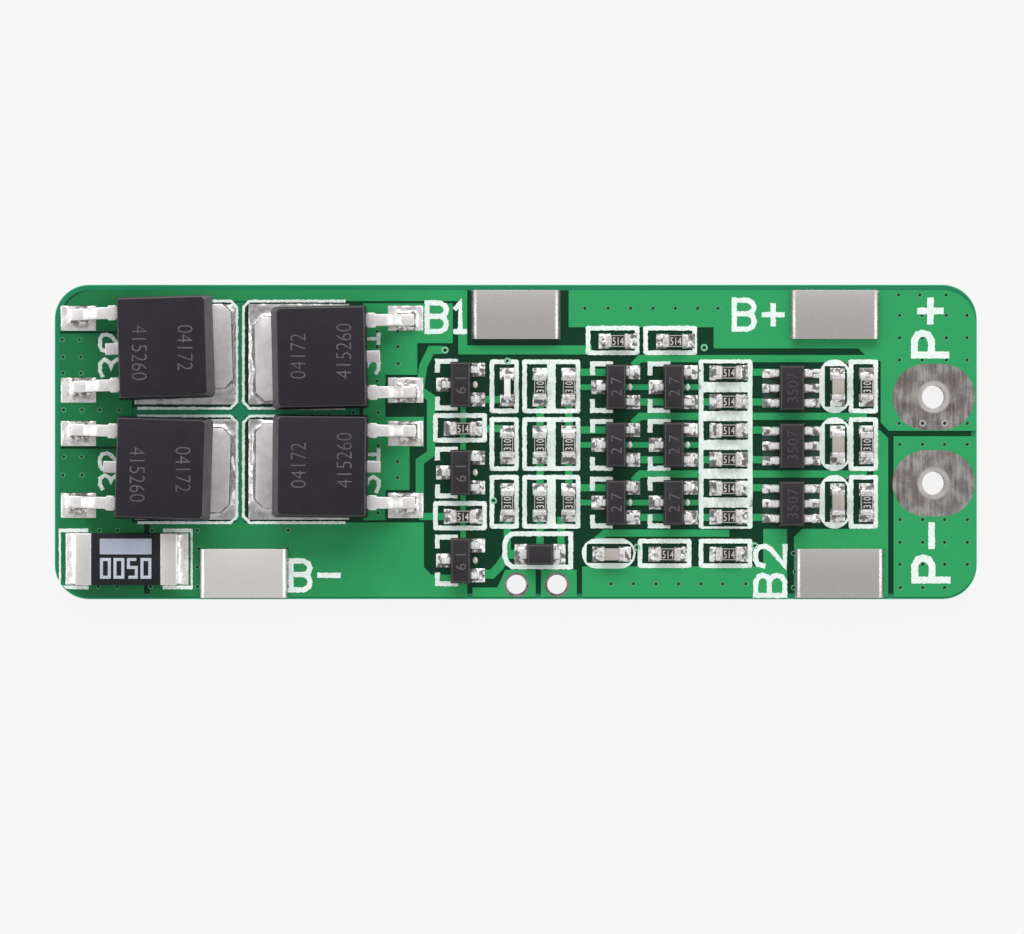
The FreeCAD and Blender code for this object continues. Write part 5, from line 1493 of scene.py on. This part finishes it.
@dataclass
class Solder:
    """The solder on every pad: a thin film that climbs the foot standing in it."""

    nodes: Nodes
    film: float = 0.03 * MM
    spacing: float = 0.05 * MM
    coarse: float = 0.085 * MM
    large_pad: float = 3.0 * MM
    power_pad: float = 1.5 * MM
    rim: float = 0.05 * MM
    fade: float = 0.1 * MM
    least: float = 0.006 * MM
    under_foot: float = -0.02 * MM
    sunk: float = 0.004 * MM
    power_climb: tuple[float, float, float] = (0.26 * MM, 0.14 * MM, 0.028 * MM)
    small_climb: tuple[float, float, float] = (0.12 * MM, 0.08 * MM, 0.014 * MM)
    coarse_lumps: float = 2.2
    fine_lumps: float = 6.5
    climb_lumps: float = 1.3
    streak: float = 3.0
    crease: float = 60.0

    def build(self) -> None:
        """Lays solder on each pad of the board."""
        feet = self.feet()
        joints = copy_of(self.nodes, "solder_joints")
        finishes = {"power": SOLDER, "clean": SOLDER_CLEAN, "bright": SOLDER_BRIGHT, "small": SOLDER_SMALL}
        groups = {kind: bmesh.new() for kind in finishes}
        for mesh in groups.values():
            mesh.verts.layers.float.new("reach")
        for group in islands(joints):
            base = min(vert.co.z for vert in group)
            low, high = spread([vert.co for vert in group if vert.co.z < base + 10 * CLOSE])
            big = max(high.x - low.x, high.y - low.y) > self.power_pad
            inside = [foot for foot in feet if self.meets(foot.hull, low, high)]
            kind = next((foot.kind for foot in inside if foot.kind), "power" if big else "small")
            self.pad(groups[kind], low, high, [foot.hull for foot in inside], big)
        joints.free()
        for kind, finish in finishes.items():
            finished(f"{kind}_solder", groups[kind], finish, ("solder_joints",), self.crease)

    def feet(self) -> list[Foot]:
        """Returns the outline of each foot, end or plate that stands in solder."""
        names = [name for name in self.nodes if name.endswith(("_legs", "_leads", "_tab", "_ends"))
                 or name.startswith("cell_tab")]
        hulls = []
        for name in names:
            mesh = copy_of(self.nodes, name)
            for group in islands(mesh):
                base = min(vert.co.z for vert in group)
                flat = [vert.co.xy for vert in group if vert.co.z < base + 4 * CLOSE]
                if base < SEAT + 10 * CLOSE and len(flat) > 2:
                    broad = name.startswith("cell_tab") or name.endswith("_tab")
                    kind = "bright" if name == "shunt_ends" else "clean" if broad else ""
                    hulls.append(Foot(hull_of(flat), kind))
            mesh.free()
        return hulls

    def meets(self, hull: list[Vector], low: Vector, high: Vector) -> bool:
        """Says whether a foot stands on a pad."""
        xs = [point.x for point in hull]
        ys = [point.y for point in hull]
        return min(xs) < high.x and max(xs) > low.x and min(ys) < high.y and max(ys) > low.y

    def away(self, hull: list[Vector], x: float, y: float) -> float:
        """Returns how far a point lies outside a foot, or less than 0 inside it."""
        point = Vector((x, y))
        nearest = FAR
        inside = True
        for a, b in zip(hull, hull[1:] + hull[:1]):
            side = b - a
            if side.length < CLOSE / 10:
                continue
            share = max(0.0, min(1.0, (point - a).dot(side) / side.length_squared))
            nearest = min(nearest, (a + side * share - point).length)
            if side.x * (point.y - a.y) - side.y * (point.x - a.x) < 0:
                inside = False
        return -nearest if inside else nearest

    def pad(self, mesh: Mesh, low: Vector, high: Vector, feet: list[list[Vector]], big: bool
            ) -> None:
        """Adds the solder of one pad.

        Args:
            mesh: The mesh that takes it.
            low: The pad's lowest corner.
            high: The pad's highest corner.
            feet: The outlines of the feet in it.
            big: Whether it is a pad of the power stage.
        """
        length, width = high.x - low.x, high.y - low.y
        spacing = self.coarse if min(length, width) > self.large_pad else self.spacing
        rise, run, lump = self.power_climb if big else self.small_climb
        columns, rows = max(4, round(length / spacing)), max(4, round(width / spacing))
        place = Matrix.Translation(((low.x + high.x) / 2, (low.y + high.y) / 2, COPPER_TOP))
        size = Matrix.Diagonal((length, width, 1, 1))
        made = bmesh.ops.create_grid(mesh, x_segments=columns, y_segments=rows, size=0.5, matrix=place @ size)
        verts = made["verts"]
        layer = mesh.verts.layers.float["reach"]
        ends = [(min(point.x for point in hull), max(point.x for point in hull)) for hull in feet]
        for vert in verts:
            x, y = vert.co.x, vert.co.y
            edge = min(x - low.x, high.x - x, y - low.y, high.y - y)
            near = min((self.away(hull, x, y) for hull in feet), default=FAR)
            past = min((max(0.0, left - x, x - right) for left, right in ends), default=0.0) if big else 0.0
            vert[layer] = (max(near, 0.0) + self.streak * past) / MM
            seed = Vector((x, y, 0)) / MM
            fade = min(1.0, edge / self.fade)
            uneven = (noise.noise(seed * self.coarse_lumps) + noise.noise(seed * self.fine_lumps) / 2) * lump
            if near < self.under_foot:
                vert.co.z = SEAT - self.sunk
                continue
            strength = 0.8 + 0.5 * noise.noise(seed * self.climb_lumps)
            climb = rise * strength * math.exp(-max(near, 0.0) / run)
            height = self.film * (1 - math.exp(-edge / self.rim)) + (climb + uneven) * fade
            vert.co.z = COPPER_TOP + max(height, self.least)
        border = [edge for edge in {edge for vert in verts for edge in vert.link_edges} if edge.is_boundary]
        skirt = bmesh.ops.extrude_edge_only(mesh, edges=border)["geom"]
        for vert in (item for item in skirt if isinstance(item, bmesh.types.BMVert)):
            vert.co.z = COPPER_TOP
        bottom = [item for item in skirt if isinstance(item, bmesh.types.BMEdge) and item.is_boundary]
        bmesh.ops.contextual_create(mesh, geom=bottom)


def main() -> None:
    """Builds the board's looks in order and reports each piece."""
    logging.basicConfig(level=logging.INFO, format="%(message)s")
    noise.seed_set(NOISE_SEED)
    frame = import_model()
    nodes = frame["nodes"]
    Studio().build()
    for kind in (Board, Ink, PowerStage, Shunt, CellTabs, SmallPackages, ChipParts, Solder):
        LOG.info("%s", kind.__name__)
        kind(nodes).build()


if __name__ == "__main__":
    main()
